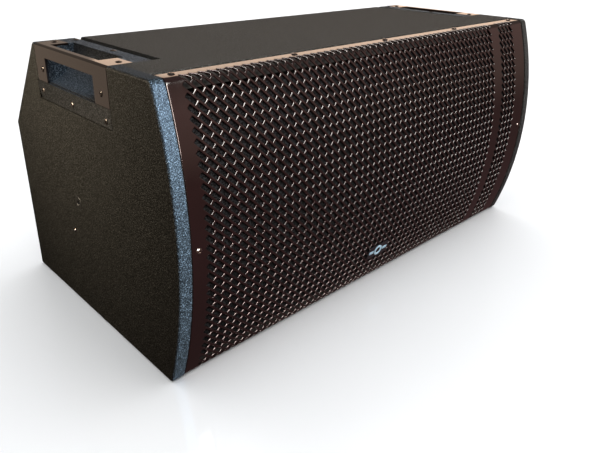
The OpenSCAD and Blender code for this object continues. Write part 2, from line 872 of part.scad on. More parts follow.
// Straight lengths of wire between hand-set points, with a clip ball at each bend.
module wire_run(points, radius) {
    clip_r = radius * 1.3;
    for (i = [0:len(points) - 2]) {
        run = points[i + 1] - points[i];
        length = norm(run);
        translate(points[i]) rotate([0, acos(run[2] / length), atan2(run[1], run[0])])
            cylinder(r = radius, h = length);
    }
    for (i = [1:len(points) - 2]) translate(points[i]) sphere(clip_r);
}

module internal_wiring() {
    color([0.55, 0.10, 0.10]) translate([0, front_y, 0])
        for (points = [INPUT_WIRE, LEFT_WIRE, RIGHT_WIRE, HORN_WIRE]) wire_run(points, wire_r);
}

// ===== assembly =====

top_panel();
bottom_panel();
rear_upper_panel();
rear_lower_panel();
side_panel(false);  // left_side_panel
side_panel(true);  // right_side_panel
front_baffle();
rear_brace();
port_wall(port_left - ply);  // port_inner_wall
port_wall(port_right);  // port_outer_wall
damping_lining();
left_grille_batten();
right_grille_batten();
grille_rib();
grille_rail(cab_h - ply);  // top_grille_rail
grille_rail(grille_z + grille_t + hair);  // bottom_grille_rail
front_grille();
grille_foam();
grille_screws();
badge();
handle_cup(false);  // left_handle_cup
handle_cup(true);  // right_handle_cup
corner_grip(false);  // left_corner_grip
corner_grip(true);  // right_corner_grip
handle_screws(false);  // left_handle_screws
handle_screws(true);  // right_handle_screws
rigging_insert(false);  // left_rigging_insert
rigging_insert(true);  // right_rigging_insert
side_stud_screws();
woofer_basket(woofer_left_x);  // left_woofer_basket
woofer_basket(woofer_right_x);  // right_woofer_basket
woofer_gasket(woofer_left_x);  // left_woofer_gasket
woofer_gasket(woofer_right_x);  // right_woofer_gasket
woofer_surround(woofer_left_x);  // left_woofer_surround
woofer_surround(woofer_right_x);  // right_woofer_surround
woofer_spider(woofer_left_x);  // left_woofer_spider
woofer_spider(woofer_right_x);  // right_woofer_spider
woofer_cone(woofer_left_x);  // left_woofer_cone
woofer_cone(woofer_right_x);  // right_woofer_cone
woofer_dust_cap(woofer_left_x);  // left_woofer_dust_cap
woofer_dust_cap(woofer_right_x);  // right_woofer_dust_cap
woofer_voice_coil(woofer_left_x);  // left_woofer_voice_coil
woofer_voice_coil(woofer_right_x);  // right_woofer_voice_coil
woofer_magnet(woofer_left_x);  // left_woofer_magnet
woofer_magnet(woofer_right_x);  // right_woofer_magnet
woofer_yoke(woofer_left_x);  // left_woofer_yoke
woofer_yoke(woofer_right_x);  // right_woofer_yoke
woofer_screws();
horn_waveguide();
compression_driver();
horn_screws();
crossover_board();
crossover_standoffs();
crossover_inductors();
crossover_capacitors();
connector_plate();
connector_plate_screws();
socket(-1);  // input_socket
socket(1);  // link_socket
internal_wiring();
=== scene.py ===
"""Looks of the line array speaker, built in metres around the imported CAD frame."""

import json
import math

import bmesh
import bpy
import numpy as np
from mathutils import Matrix, Vector, noise


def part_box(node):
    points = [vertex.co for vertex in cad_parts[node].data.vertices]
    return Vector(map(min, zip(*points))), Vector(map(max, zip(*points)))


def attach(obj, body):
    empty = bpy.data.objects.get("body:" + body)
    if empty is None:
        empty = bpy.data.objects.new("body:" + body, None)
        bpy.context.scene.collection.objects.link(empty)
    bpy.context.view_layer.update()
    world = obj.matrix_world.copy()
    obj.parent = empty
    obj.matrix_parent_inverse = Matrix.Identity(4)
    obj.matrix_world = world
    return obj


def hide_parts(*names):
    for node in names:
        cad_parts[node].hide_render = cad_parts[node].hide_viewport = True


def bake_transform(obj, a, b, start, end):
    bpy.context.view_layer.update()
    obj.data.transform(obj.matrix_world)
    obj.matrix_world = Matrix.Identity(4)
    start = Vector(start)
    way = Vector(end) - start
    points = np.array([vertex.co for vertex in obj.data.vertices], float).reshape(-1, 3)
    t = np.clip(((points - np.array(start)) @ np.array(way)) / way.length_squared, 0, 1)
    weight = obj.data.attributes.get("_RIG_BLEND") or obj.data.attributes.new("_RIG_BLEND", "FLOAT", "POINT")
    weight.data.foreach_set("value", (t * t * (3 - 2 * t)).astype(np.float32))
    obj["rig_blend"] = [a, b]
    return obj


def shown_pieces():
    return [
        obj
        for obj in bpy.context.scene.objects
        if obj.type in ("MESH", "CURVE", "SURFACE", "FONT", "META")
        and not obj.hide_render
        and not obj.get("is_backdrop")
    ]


MM = 0.001

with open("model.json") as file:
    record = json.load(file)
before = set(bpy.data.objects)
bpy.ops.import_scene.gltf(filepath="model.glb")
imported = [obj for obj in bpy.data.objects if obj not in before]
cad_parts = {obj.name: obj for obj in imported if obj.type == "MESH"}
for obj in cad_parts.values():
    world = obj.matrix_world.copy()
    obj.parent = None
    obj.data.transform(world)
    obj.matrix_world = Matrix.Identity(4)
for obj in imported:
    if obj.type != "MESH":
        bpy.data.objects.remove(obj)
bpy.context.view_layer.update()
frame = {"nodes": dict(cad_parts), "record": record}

# ---------------------------------------------------------------- driving sizes, read from the frame
SIDE_LO, SIDE_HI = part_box("left_side_panel")
TOP_LO, TOP_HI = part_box("top_panel")
GRILLE_LO, GRILLE_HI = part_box("front_grille")
GRIP_LO, GRIP_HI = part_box("left_corner_grip")
CUP_LO, CUP_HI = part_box("left_handle_cup")

OUTER_X = -SIDE_LO.x
INNER_X = -SIDE_HI.x
HEIGHT = SIDE_HI.z
MID_Z = HEIGHT / 2
PLY = OUTER_X - INNER_X
APEX_Y = SIDE_LO.y
BULGE = 36 * MM
FRONT_Y = APEX_Y + BULGE
PANEL_FRONT_Y = TOP_LO.y
BACK_BOTTOM = Vector((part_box("bottom_panel")[1].y, 0))
KNEE = Vector((SIDE_HI.y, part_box("rear_lower_panel")[1].z))
BACK_TOP = Vector((TOP_HI.y, HEIGHT))

FRONT_R = (BULGE ** 2 + MID_Z ** 2) / (2 * BULGE)
FRONT_AXIS_Y = APEX_Y + FRONT_R
GRILLE_INSET = GRILLE_LO.z
GRILLE_R = FRONT_R - GRILLE_INSET
GRILLE_T = 2 * MM


def add_object(name, data):
    made = bpy.data.objects.new(name, data)
    bpy.context.scene.collection.objects.link(made)
    return made


# ================================================================ camera
CAMERA_PLACE = (-0.7546, -0.7587, 0.5588)
CAMERA_TURN = (43.501, 23.083, 0.944)     # yaw, pitch and roll, in degrees
CAMERA_LENS = 35.38
CAMERA_SHIFT = (0.0239, -0.0655)


def make_camera():
    """Front left, a little above the cabinet and looking down on it."""
    yaw, pitch, roll = (math.radians(angle) for angle in CAMERA_TURN)
    level = Vector((math.sin(yaw), math.cos(yaw), 0))
    forward = level * math.cos(pitch) - Vector((0, 0, math.sin(pitch)))
    right = Vector((math.cos(yaw), -math.sin(yaw), 0))
    up = right.cross(forward)
    right, up = right * math.cos(roll) + up * math.sin(roll), up * math.cos(roll) - right * math.sin(roll)
    data = bpy.data.cameras.new("camera")
    data.sensor_width = 36
    data.lens = CAMERA_LENS
    data.shift_x, data.shift_y = CAMERA_SHIFT
    data.clip_end = 60
    camera = add_object("camera", data)
    turn = Matrix((right, up, -forward)).transposed().to_4x4()
    camera.matrix_world = Matrix.Translation(CAMERA_PLACE) @ turn
    bpy.context.scene.camera = camera


make_camera()


# ================================================================ materials
def set_ramp(ramp, stops):
    """Puts (position, colour) stops on a colour ramp node."""
    elements = ramp.color_ramp.elements
    while len(elements) < len(stops):
        elements.new(0.5)
    for element, (position, colour) in zip(elements, stops):
        element.position = position
        element.color = (*colour, 1)
    return ramp


def two_tone(shade, share, start=0.3, stop=0.7):
    """Ramp stops from a darker share of a shade up to the shade itself."""
    return [(start, tuple(c * share for c in shade)), (stop, shade)]


class Shader:
    """A node material around one Principled shader, with short calls for the nodes used below."""

    def __init__(self, name, metallic=0.0, specular=0.5, ior=1.5, coat=0.0, coat_roughness=0.1, sheen=0.0):
        self.material = bpy.data.materials.new(name)
        self.material.use_nodes = True
        self.tree = self.material.node_tree
        self.shader = self.tree.nodes["Principled BSDF"]
        for socket, value in (("Metallic", metallic), ("Specular IOR Level", specular), ("IOR", ior),
                              ("Coat Weight", coat), ("Coat Roughness", coat_roughness),
                              ("Sheen Weight", sheen)):
            self.shader.inputs[socket].default_value = value
        self.place = self.node("ShaderNodeTexCoord").outputs["Object"]
        self.height = None

    def node(self, kind, **settings):
        made = self.tree.nodes.new(kind)
        for key, value in settings.items():
            setattr(made, key, value)
        return made

    def link(self, source, target):
        self.tree.links.new(source, target)

    def stretched(self, scale):
        """Object coordinates scaled by a vector, for grain that runs one way."""
        mapping = self.node("ShaderNodeMapping")
        mapping.inputs["Scale"].default_value = scale
        self.link(self.place, mapping.inputs["Vector"])
        return mapping.outputs["Vector"]

    def texture(self, kind, output, inputs, vector=None, **settings):
        """A texture node on object coordinates, or on a vector of its own."""
        made = self.node(kind, **settings)
        for socket, value in inputs.items():
            made.inputs[socket].default_value = value
        self.link(vector or self.place, made.inputs["Vector"])
        return made.outputs[output]

    def noise(self, scale, detail=2.0, distortion=0.0, vector=None):
        inputs = {"Scale": scale, "Detail": detail, "Distortion": distortion}
        return self.texture("ShaderNodeTexNoise", "Fac", inputs, vector)

    def cells(self, scale, feature="F1"):
        return self.texture("ShaderNodeTexVoronoi", "Distance", {"Scale": scale}, feature=feature)

    def wave(self, scale, direction="X", distortion=0.0):
        inputs = {"Scale": scale, "Distortion": distortion}
        return self.texture("ShaderNodeTexWave", "Fac", inputs, bands_direction=direction)

    def weave(self, scale, directions, distortion=0.0):
        """Two crossing sets of threads, the higher one on top."""
        made = self.node("ShaderNodeMath", operation="MAXIMUM")
        for direction, socket in zip(directions, made.inputs):
            self.link(self.wave(scale, direction, distortion), socket)
        return made.outputs["Value"]

    def ramp(self, source, stops):
        made = set_ramp(self.node("ShaderNodeValToRGB"), stops)
        self.link(source, made.inputs["Fac"])
        return made.outputs["Color"]

    def spread(self, source, low, high, start=0.3, stop=0.7):
        """Maps a texture's value onto the range low to high."""
        made = self.node("ShaderNodeMapRange")
        for socket, value in zip(("From Min", "From Max", "To Min", "To Max"), (start, stop, low, high)):
            made.inputs[socket].default_value = value
        self.link(source, made.inputs["Value"])
        return made.outputs["Result"]

    def bump(self, source, depth, strength):
        """Adds a layer of bump, depth in metres, on top of the layers before it."""
        made = self.node("ShaderNodeBump")
        made.inputs["Distance"].default_value = depth
        made.inputs["Strength"].default_value = strength
        self.link(source, made.inputs["Height"])
        if self.height is not None:
            self.link(self.height, made.inputs["Normal"])
        self.height = made.outputs["Normal"]
        self.link(self.height, self.shader.inputs["Normal"])

    def finish(self, tone, stops, rough, low, high, *bumps):
        """Colour from one texture, roughness from another, then layers of (source, depth, strength)."""
        self.link(self.ramp(tone, stops), self.shader.inputs["Base Color"])
        self.link(self.spread(rough, low, high), self.shader.inputs["Roughness"])
        for layer in bumps:
            self.bump(*layer)
        return self.material


def textured_paint(name, shade=(0.012, 0.0115, 0.010), bump_top_highlight=(0.095, 0.097, 0.095)):
    """Thick sprayed cabinet paint with a slight orange peel; its colour follows the bump grain: painted shade
    in the hollows, pale flecks of painted highlight on the tops.
    """
    s = Shader(name, specular=0.2)
    grain = s.noise(760, distortion=0.1)
    # colour keyed to the bump grain: darkest in its hollows as painted shade, pale flecks on its tops as
    # painted highlight
    stops = two_tone(shade, 0.1, 0.40, 0.50) + [(0.55, shade), (0.66, bump_top_highlight)]
    return s.finish(grain, stops, grain, 0.62, 0.30,
                    (s.noise(480, detail=3), 0.9 * MM, 0.3), (grain, 0.9 * MM, 0.6))


def gloss_coat(name, shade, peel=0.05):
    """Glossy powder coat, very slightly wavy."""
    s = Shader(name, ior=1.9)
    return s.finish(s.noise(26, detail=4), two_tone(shade, 0.8), s.noise(70, detail=5), 0.08, 0.14,
                    (s.noise(260), 0.3 * MM, peel))


def foam():
    """Open-cell foam, near black with lighter cell walls."""
    s = Shader("open_cell_foam", specular=0.08)
    holes = s.cells(420)
    stops = [(0.10, (0.0005, 0.0005, 0.0005)), (0.45, (0.003, 0.003, 0.0032)), (0.75, (0.012, 0.0125, 0.014))]
    return s.finish(holes, stops, s.noise(150), 0.6, 0.95,
                    (holes, 1.6 * MM, 0.9), (s.noise(160, detail=4), 2.0 * MM, 0.5))


def fibrous(name, grain, stretch, stops, rough, relief, **settings):
    """One noise for colour, roughness and bump: wood grain, pulp, wadding, tool marks.

    grain is (scale, detail, distortion), stretch None or a vector, relief (depth, strength)."""
    s = Shader(name, **settings)
    lines = s.noise(*grain, vector=s.stretched(stretch) if stretch else None)
    return s.finish(lines, stops, lines, *rough, (lines, *relief))


def machined(name, shade, rough=0.3):
    """Bare or plated metal with fine lines from the tool."""
    return fibrous(name, (150, 6, 0), (1, 1, 30), two_tone(shade, 0.7), (rough * 0.8, rough * 1.4),
                   (0.05 * MM, 0.4), metallic=1.0)


def cast(name, shade, metallic=0.0, rough=0.5):
    """Cast or sintered surface with a fine sandy grain."""
    s = Shader(name, metallic=metallic)
    grain = s.noise(700, detail=4)
    return s.finish(s.noise(90, detail=5), two_tone(shade, 0.65), grain, rough * 0.85, rough * 1.15,
                    (grain, 0.25 * MM, 0.5))


def moulded(name, shade, rough=0.45):
    """Injection-moulded plastic with a spark-eroded grain."""
    s = Shader(name)
    return s.finish(s.noise(60, detail=3), two_tone(shade, 0.75), s.noise(180, detail=3),
                    rough * 0.85, rough * 1.15, (s.cells(1500, "SMOOTH_F1"), 0.12 * MM, 0.4))


def woven(name, shade, thread=900):
    """Cloth woven from two sets of threads."""
    s = Shader(name, specular=0.25, sheen=0.3)
    weave = s.weave(thread / 6.3, "XZ", 0.6)
    return s.finish(weave, two_tone(shade, 0.45, 0.2, 0.8), weave, 0.9, 0.65, (weave, 0.4 * MM, 0.7))


def winding(name, shade):
    """Turns of enamelled wire round a vertical or depth axis."""
    s = Shader(name, metallic=1.0, coat=0.6, coat_roughness=0.15)
    turns = s.wave(260, "DIAGONAL", 0.05)
    return s.finish(turns, two_tone(shade, 0.35, 0.15, 0.6), s.noise(90), 0.22, 0.4, (turns, 0.5 * MM, 0.8))


def circuit_board():
    """Green board with paler tracks, the glass weave just showing."""
    s = Shader("circuit_board", coat=0.5, coat_roughness=0.2)
    weave = s.weave(320, "XY")
    board, track = (0.010, 0.075, 0.032), (0.030, 0.16, 0.07)
    return s.finish(s.noise(38, detail=1, distortion=3),
                    [(0.42, board), (0.47, track), (0.56, track), (0.61, board)],
                    weave, 0.3, 0.45, (weave, 0.06 * MM, 0.4))


def screw_black():
    """Blackened steel, rubbed bright where a key has turned it."""
    s = Shader("blackened_screw", metallic=0.8, ior=1.8)
    rub = s.noise(220, detail=4)
    stops = [(0.40, (0.022, 0.017, 0.015)), (0.60, (0.05, 0.04, 0.035)), (0.78, (0.22, 0.19, 0.17))]
    return s.finish(rub, stops, rub, 0.22, 0.38, (s.noise(900), 0.1 * MM, 0.3))


SLOT_MATERIALS = {
    "textured_cabinet": textured_paint("textured_paint"),
    "cup_paint": textured_paint("cup_paint", (0.016, 0.016, 0.0165)),
    "plate_paint": textured_paint("plate_paint", (0.016, 0.016, 0.017)),
    # the grille's near black is tinted maroon: a painted reflection of the dark maroon surroundings its gloss
    # mirrors
    "grille_steel": gloss_coat("gloss_black_grille", (0.0045, 0.0018, 0.0018)),
    "grip_steel": gloss_coat("gloss_black_grip", (0.014, 0.008, 0.006), peel=0.12),
    "badge_enamel": gloss_coat("badge_black", (0.010, 0.011, 0.014), peel=0.02),
    "open_cell_foam": foam(),
    "black_wood": fibrous("flat_black_wood", (60, 6, 0), (0.15, 4, 4),
                          [(0.3, (0.012, 0.012, 0.012)), (0.7, (0.03, 0.028, 0.026))],
                          (0.7, 0.9), (0.4 * MM, 0.5), specular=0.3),
    "bare_plywood": fibrous("birch_plywood", (45, 8, 0.6), (6, 1, 0.4),
                            [(0.25, (0.36, 0.22, 0.11)), (0.5, (0.52, 0.36, 0.20)),
                             (0.8, (0.66, 0.50, 0.31))],
                            (0.55, 0.8), (0.3 * MM, 0.5), specular=0.3),
    "wadding": fibrous("polyester_wadding", (260, 8, 2.5), None,
                       [(0.3, (0.45, 0.44, 0.41)), (0.7, (0.78, 0.77, 0.73))],
                       (0.85, 1.0), (3 * MM, 0.8), specular=0.2, sheen=0.6),
    "cone_paper": fibrous("cone_paper", (300, 8, 1.6), None,
                          [(0.3, (0.018, 0.018, 0.020)), (0.7, (0.05, 0.05, 0.055))],
                          (0.6, 0.85), (0.5 * MM, 0.6), specular=0.35),
    "screw_steel": screw_black(),
    "insert_steel": cast("painted_insert", (0.016, 0.015, 0.013), rough=0.4),
    "cast_basket": cast("cast_basket", (0.30, 0.30, 0.32), metallic=0.9),
    "magnet_ferrite": cast("magnet_ferrite", (0.045, 0.045, 0.05), rough=0.6),
    "driver_paint": cast("driver_paint", (0.025, 0.025, 0.028), rough=0.4),
    "gasket_rubber": moulded("gasket_rubber", (0.02, 0.02, 0.02), rough=0.8),
    "socket_plastic": moulded("socket_plastic", (0.018, 0.028, 0.075)),
    "horn_plastic": moulded("horn_plastic", (0.02, 0.02, 0.021)),
    "capacitor_case": moulded("capacitor_case", (0.10, 0.12, 0.26), rough=0.35),
    "wire_sleeve": moulded("wire_sleeve", (0.22, 0.015, 0.012), rough=0.4),
    "surround_cloth": woven("surround_cloth", (0.035, 0.035, 0.037)),
    "spider_cloth": woven("spider_cloth", (0.52, 0.38, 0.14)),
    "copper_winding": winding("copper_winding", (0.80, 0.36, 0.16)),
    "yoke_steel": machined("yoke_steel", (0.55, 0.54, 0.50), rough=0.35),
    "standoff_brass": machined("standoff_brass", (0.75, 0.55, 0.22)),
    "circuit_board": circuit_board(),
}
SCREW_CHROME = machined("dark_chrome_screw", (0.34, 0.29, 0.27), rough=0.2)
BADGE_SILVER = cast("badge_silver", (0.42, 0.62, 0.78), metallic=0.25, rough=0.35)

# every CAD node gets the material of its slot, whether it stays in view or not
for part in frame["record"]["subparts"]:
    materials = frame["nodes"][part["node"]].data.materials
    materials.clear()
    materials.append(SLOT_MATERIALS[part["material_slot"]])


# ================================================================ mesh helpers
def from_bmesh(name, bm):
    bmesh.ops.recalc_face_normals(bm, faces=bm.faces)
    mesh = bpy.data.meshes.new(name)
    bm.to_mesh(mesh)
    bm.free()
    return add_object(name, mesh)


def arc_points(centre, radius, start, stop, steps):
    """Points on an arc in a plane, angles in radians, both ends kept."""
    for i in range(steps + 1):
        angle = start + (stop - start) * i / steps
        yield Vector((centre[0] + radius * math.cos(angle), centre[1] + radius * math.sin(angle)))


def fillet(before, corner, after, radius, steps=6):
    """Points that round off a corner of an outline, from one tangent point to the other."""
    u, w = (before - corner).normalized(), (after - corner).normalized()
    half = u.angle(w) / 2
    reach = radius / math.tan(half)
    centre = corner + (u + w).normalized() * (radius / math.sin(half))
    first, last = corner + u * reach, corner + w * reach
    start = math.atan2(*(first - centre).yx)
    turn = (math.atan2(*(last - centre).yx) - start + math.pi) % (2 * math.pi) - math.pi
    return list(arc_points(centre, radius, start, start + turn, steps))


def prism(name, outline, lift, low, high):
    """Closed prism over an outline; lift turns (a, b, along) into a point."""
    bm = bmesh.new()
    ends = [[bm.verts.new(lift(p[0], p[1], along)) for p in outline] for along in (low, high)]
    bm.faces.new(ends[0])
    bm.faces.new(ends[1][::-1])
    count = len(outline)
    for i in range(count):
        j = (i + 1) % count
        bm.faces.new((ends[0][j], ends[0][i], ends[1][i], ends[1][j]))
    return from_bmesh(name, bm)


def along_x(a, b, along):
    return along, a, b


def along_y(a, b, along):
    return a, along, b


def along_z(a, b, along):
    return a, b, along


def rectangle(a0, b0, a1, b1):
    return [Vector(point) for point in ((a0, b0), (a1, b0), (a1, b1), (a0, b1))]


def block(low, high):
    """Plain box, for cutting and joining only."""
    return prism("tool", rectangle(low[0], low[2], high[0], high[2]), along_y, low[1], high[1])


def rod_y(radius, y0, y1):
    """Rod along Y round the middle line of the left handle's scoop."""
    outline = list(arc_points((SCOOP_X, HEIGHT), radius, 0, 2 * math.pi, 96))[:-1]
    return prism("left_cup", outline, along_y, y0, y1)


def baked(piece):
    """Replaces a piece's mesh by its mesh with the modifiers applied."""
    bpy.context.view_layer.update()
    evaluated = piece.evaluated_get(bpy.context.evaluated_depsgraph_get())
    mesh = bpy.data.meshes.new_from_object(evaluated)
    piece.modifiers.clear()
    piece.data = mesh
    return piece


def boolean(piece, tool, operation):
    modifier = piece.modifiers.new("boolean", "BOOLEAN")
    modifier.operation = operation
    modifier.solver = "EXACT"
    modifier.object = tool
    baked(piece)
    bpy.data.objects.remove(tool)
    return piece


def cut(piece, *tools):
    for tool in tools:
        boolean(piece, tool, "DIFFERENCE")
    return piece


def join(piece, *others):
    for other in others:
        boolean(piece, other, "UNION")
    return piece


def round_edges(piece, width, pick=lambda e: True, steps=3):
    """Rounds the edges that pick(edge) chooses, among those that stand out."""
    bm = bmesh.new()
    bm.from_mesh(piece.data)
    bmesh.ops.remove_doubles(bm, verts=bm.verts, dist=2e-6)
    edges = [e for e in bm.edges
             if len(e.link_faces) == 2 and e.calc_face_angle(0) > math.radians(28) and pick(e)]
    bmesh.ops.bevel(bm, geom=edges, offset=width, segments=steps, profile=0.5, affect="EDGES",
                    clamp_overlap=True)
    bm.to_mesh(piece.data)
    bm.free()
    return piece


def shade(piece, angle=40):
    """Smooth shading that keeps flat faces flat."""
    piece.data.shade_smooth()
    piece.data.set_sharp_from_angle(angle=math.radians(angle))
    modifier = piece.modifiers.new("weighted_normals", "WEIGHTED_NORMAL")
    modifier.keep_sharp = True
    modifier.weight = 60
    return piece


def mirror(piece):
    """Turns a left piece into its mirror image on the right."""
    piece.data.transform(Matrix.Scale(-1, 4, (1, 0, 0)))
    piece.data.flip_normals()
    return piece


def absorb(piece, other):
    """Adds another piece's mesh to this one's, and removes the other."""
    bm = bmesh.new()
    bm.from_mesh(piece.data)
    bm.from_mesh(other.data)
    bm.to_mesh(piece.data)
    bm.free()
    bpy.data.objects.remove(other)


def dress(piece, slot, *nodes, material=None):
    """Gives a piece its slot and that slot's material, or one of its own, and lets it stand for CAD nodes."""
    piece.data.materials.clear()
    piece.data.materials.append(material or SLOT_MATERIALS[slot])
    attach(piece, "cabinet")
    if nodes:
        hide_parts(*nodes)


def dress_both(left, slot, node):
    """Dresses a left piece and makes its mirror image on the right."""
    right = left.copy()
    right.name = left.name.replace("left_", "right_")
    right.data = left.data.copy()
    bpy.context.scene.collection.objects.link(right)
    mirror(right)
    dress(left, slot, "left_" + node)
    dress(right, slot, "right_" + node)


# ================================================================ cabinet panels
EDGE_R = 5 * MM           # rounding of the side panels' outer edges
RECESS_R = 0.8 * MM       # rounding of the edges round the handle
CORNER_R = {"front": 9 * MM, "back_top": 7 * MM, "knee": 9 * MM, "back_bottom": 5 * MM}
CLOSE = 1e-5              # coordinates nearer than this count as the same

FRONT_TOP = Vector((FRONT_Y, HEIGHT))
FRONT_BOTTOM = Vector((FRONT_Y, 0))
BACK_BOTTOM_ROUND = fillet(FRONT_BOTTOM, BACK_BOTTOM, KNEE, CORNER_R["back_bottom"])
KNEE_ROUND = fillet(BACK_BOTTOM, KNEE, BACK_TOP, CORNER_R["knee"])
BACK_TOP_ROUND = fillet(KNEE, BACK_TOP, FRONT_TOP, CORNER_R["back_top"])

REAR_LEAN = math.atan2(KNEE.x - BACK_BOTTOM.x, KNEE.y)
LEANING = Matrix.Translation((0, BACK_BOTTOM.x, 0)) @ Matrix.Rotation(-REAR_LEAN, 4, "X")


def inner_corner(before, corner, after):
    """Where the inner faces of two panels meet, PLY inside the outer corner."""
    u, w = (corner - before).normalized(), (after - corner).normalized()
    left = lambda v: Vector((-v.y, v.x))
    bend = (left(u) + left(w)).normalized()
    return corner + bend * PLY / bend.dot(left(u))


def side_outline():
    """Outline of a side panel, from the top front corner down the curve and round the back."""
    half = math.asin(MID_Z / FRONT_R)
    curve = [Vector((FRONT_AXIS_Y - FRONT_R * math.cos(a), MID_Z - FRONT_R * math.sin(a)))
             for a in np.linspace(-half, half, 65)]
    top = fillet(Vector((0, HEIGHT)), curve[0], curve[1] + (curve[1] - curve[0]) * 8, CORNER_R["front"])
    bottom = fillet(curve[-2] + (curve[-2] - curve[-1]) * 8, curve[-1], Vector((0, 0)), CORNER_R["front"])
    clear = CORNER_R["front"] * 1.1
    middle = [p for p in curve if clear < p.y < HEIGHT - clear]
    return [*top, *middle, *bottom, Vector((PANEL_FRONT_Y, 0)), *BACK_BOTTOM_ROUND, *KNEE_ROUND,
            *BACK_TOP_ROUND, Vector((PANEL_FRONT_Y, HEIGHT))]


SIDE_OUTLINE = side_outline()


def on_outline(point):
    """True where a (y, z) point lies on the side panel's outline."""
    for i, a in enumerate(SIDE_OUTLINE):
        b = SIDE_OUTLINE[(i + 1) % len(SIDE_OUTLINE)]
        ab = b - a
        t = max(0, min(1, (point - a).dot(ab) / ab.length_squared))
        if (a + ab * t - point).length < CLOSE:
            return True
    return False


# The space that the left handle takes out of the panels, in the frame's own numbers.
GAP = 0.5 * MM
SCOOP_R = 53.5 * MM
SCOOP_X = -OUTER_X - 8 * MM
SCOOP_Y = (FRONT_Y + 137 * MM, FRONT_Y + 281 * MM)
CUP_WALL = 2.5 * MM
STEEL = 3 * MM
FLANGE_LOW = CUP_LO.z
FLANGE_TOP_X = CUP_HI.x
FLANGE_REAR = FRONT_Y + 317 * MM
GROOVE_W = 11.5 * MM
GROOVE_DEPTH = 10 * MM
GRIP_LOW = GRIP_LO.z
GRIP_X = GRIP_HI.x
BAR_SIDE_H = 18 * MM
BAR_TOP_W = 11 * MM
OVER = 20 * MM
PLATE_HALF_H = 50 * MM
PLATE_RECESS = 3 * MM


def handle_cutters():
    """Solids that open the panels for the left handle."""
    y0 = GRIP_LO.y - GAP
    return [
        rod_y(SCOOP_R + CUP_WALL + GAP, SCOOP_Y[0] - CUP_WALL - GAP, SCOOP_Y[1] + CUP_WALL + GAP),
        block((-OUTER_X - OVER, y0, FLANGE_LOW - GAP),
              (-OUTER_X + STEEL, FLANGE_REAR + GAP, GRIP_LOW)),
        block((-OUTER_X - OVER, y0, GRIP_LOW - 1 * MM),
              (-OUTER_X + STEEL + GAP, GRIP_HI.y + GAP, HEIGHT + OVER)),
        block((-OUTER_X - OVER, y0, HEIGHT - STEEL - GAP),
              (GRIP_X + GAP, GRIP_HI.y + GAP, HEIGHT + OVER)),
        block((GRIP_X - 1 * MM, y0, HEIGHT - STEEL),
              (FLANGE_TOP_X + GROOVE_W, BACK_TOP.x + OVER, HEIGHT + OVER)),
        block((FLANGE_TOP_X, y0, HEIGHT - GROOVE_DEPTH),
              (FLANGE_TOP_X + GROOVE_W, BACK_TOP.x + OVER, HEIGHT + OVER)),
    ]


def level(edge, axis, value):
    """True where both ends of an edge have this coordinate."""
    return all(abs(v.co[axis] - value) < CLOSE for v in edge.verts)


def side_panel():
    """Left side panel with its recess for the handle and its rigging hole."""
    panel = prism("left_side", SIDE_OUTLINE, along_x, -OUTER_X, -INNER_X)
    cut(panel, *handle_cutters())
    insert_lo, insert_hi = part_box("left_rigging_insert")
    insert_r = (insert_hi.y - insert_lo.y) / 2
    centre = (insert_lo + insert_hi) / 2
    ring = list(arc_points((centre.y, centre.z), insert_r, 0, 2 * math.pi, 48))[:-1]
    cut(panel, prism("insert_tool", ring, along_x, -OUTER_X - OVER, -OUTER_X + 4 * MM))

    def outer(e):
        return level(e, 0, -OUTER_X)

    def perimeter(e):
        return outer(e) and on_outline(((e.verts[0].co + e.verts[1].co) / 2).yz)

    def inner_front(e):
        return level(e, 0, -INNER_X) and all(v.co.y < PANEL_FRONT_Y + CLOSE for v in e.verts)

    round_edges(panel, EDGE_R, perimeter, steps=5)
    round_edges(panel, 0.6 * MM, inner_front, steps=3)
    round_edges(panel, RECESS_R, outer, steps=2)
    return shade(panel)


def half_of(points, first):
    """The first or last half of a rounded corner, up to its middle point."""
    middle = len(points) // 2
    return points[:middle + 1] if first else points[middle:]


def recess_edge(e):
    """Edges in the top face, but not where it meets the side panels."""
    at_side = all(abs(abs(v.co.x) - INNER_X) < CLOSE for v in e.verts)
    return level(e, 2, HEIGHT) and not at_side


def build_panels():
    """The side panels, and the four panels that run between them."""
    dress_both(side_panel(), "textured_cabinet", "side_panel")
    in_bottom = inner_corner(FRONT_BOTTOM, BACK_BOTTOM, KNEE)
    in_knee = inner_corner(BACK_BOTTOM, KNEE, BACK_TOP)
    in_top = inner_corner(KNEE, BACK_TOP, FRONT_TOP)
    outlines = {
        "top": [Vector((PANEL_FRONT_Y, HEIGHT - PLY)), in_top, *half_of(BACK_TOP_ROUND, False),
                Vector((PANEL_FRONT_Y, HEIGHT))],
        "rear_upper": [in_top, in_knee, *half_of(KNEE_ROUND, False), *half_of(BACK_TOP_ROUND, True)],
        "rear_lower": [in_knee, in_bottom, *half_of(BACK_BOTTOM_ROUND, False), *half_of(KNEE_ROUND, True)],
        "bottom": [Vector((PANEL_FRONT_Y, 0)), *half_of(BACK_BOTTOM_ROUND, True), in_bottom,
                   Vector((PANEL_FRONT_Y, PLY))],
    }
    panels = {name: prism(name, outline, along_x, -INNER_X, INNER_X) for name, outline in outlines.items()}
    for name in ("top", "rear_upper"):
        cut(panels[name], *handle_cutters(), *map(mirror, handle_cutters()))
    cut(panels["rear_lower"], plate_opening())
    for name, z, width in (("top", HEIGHT, 1.2 * MM), ("bottom", 0, 2 * MM)):
        round_edges(panels[name], width, lambda e: level(e, 1, PANEL_FRONT_Y) and level(e, 2, z))
    round_edges(panels["top"], RECESS_R, recess_edge, steps=2)
    for name, panel in panels.items():
        dress(shade(panel), "textured_cabinet", name + "_panel")


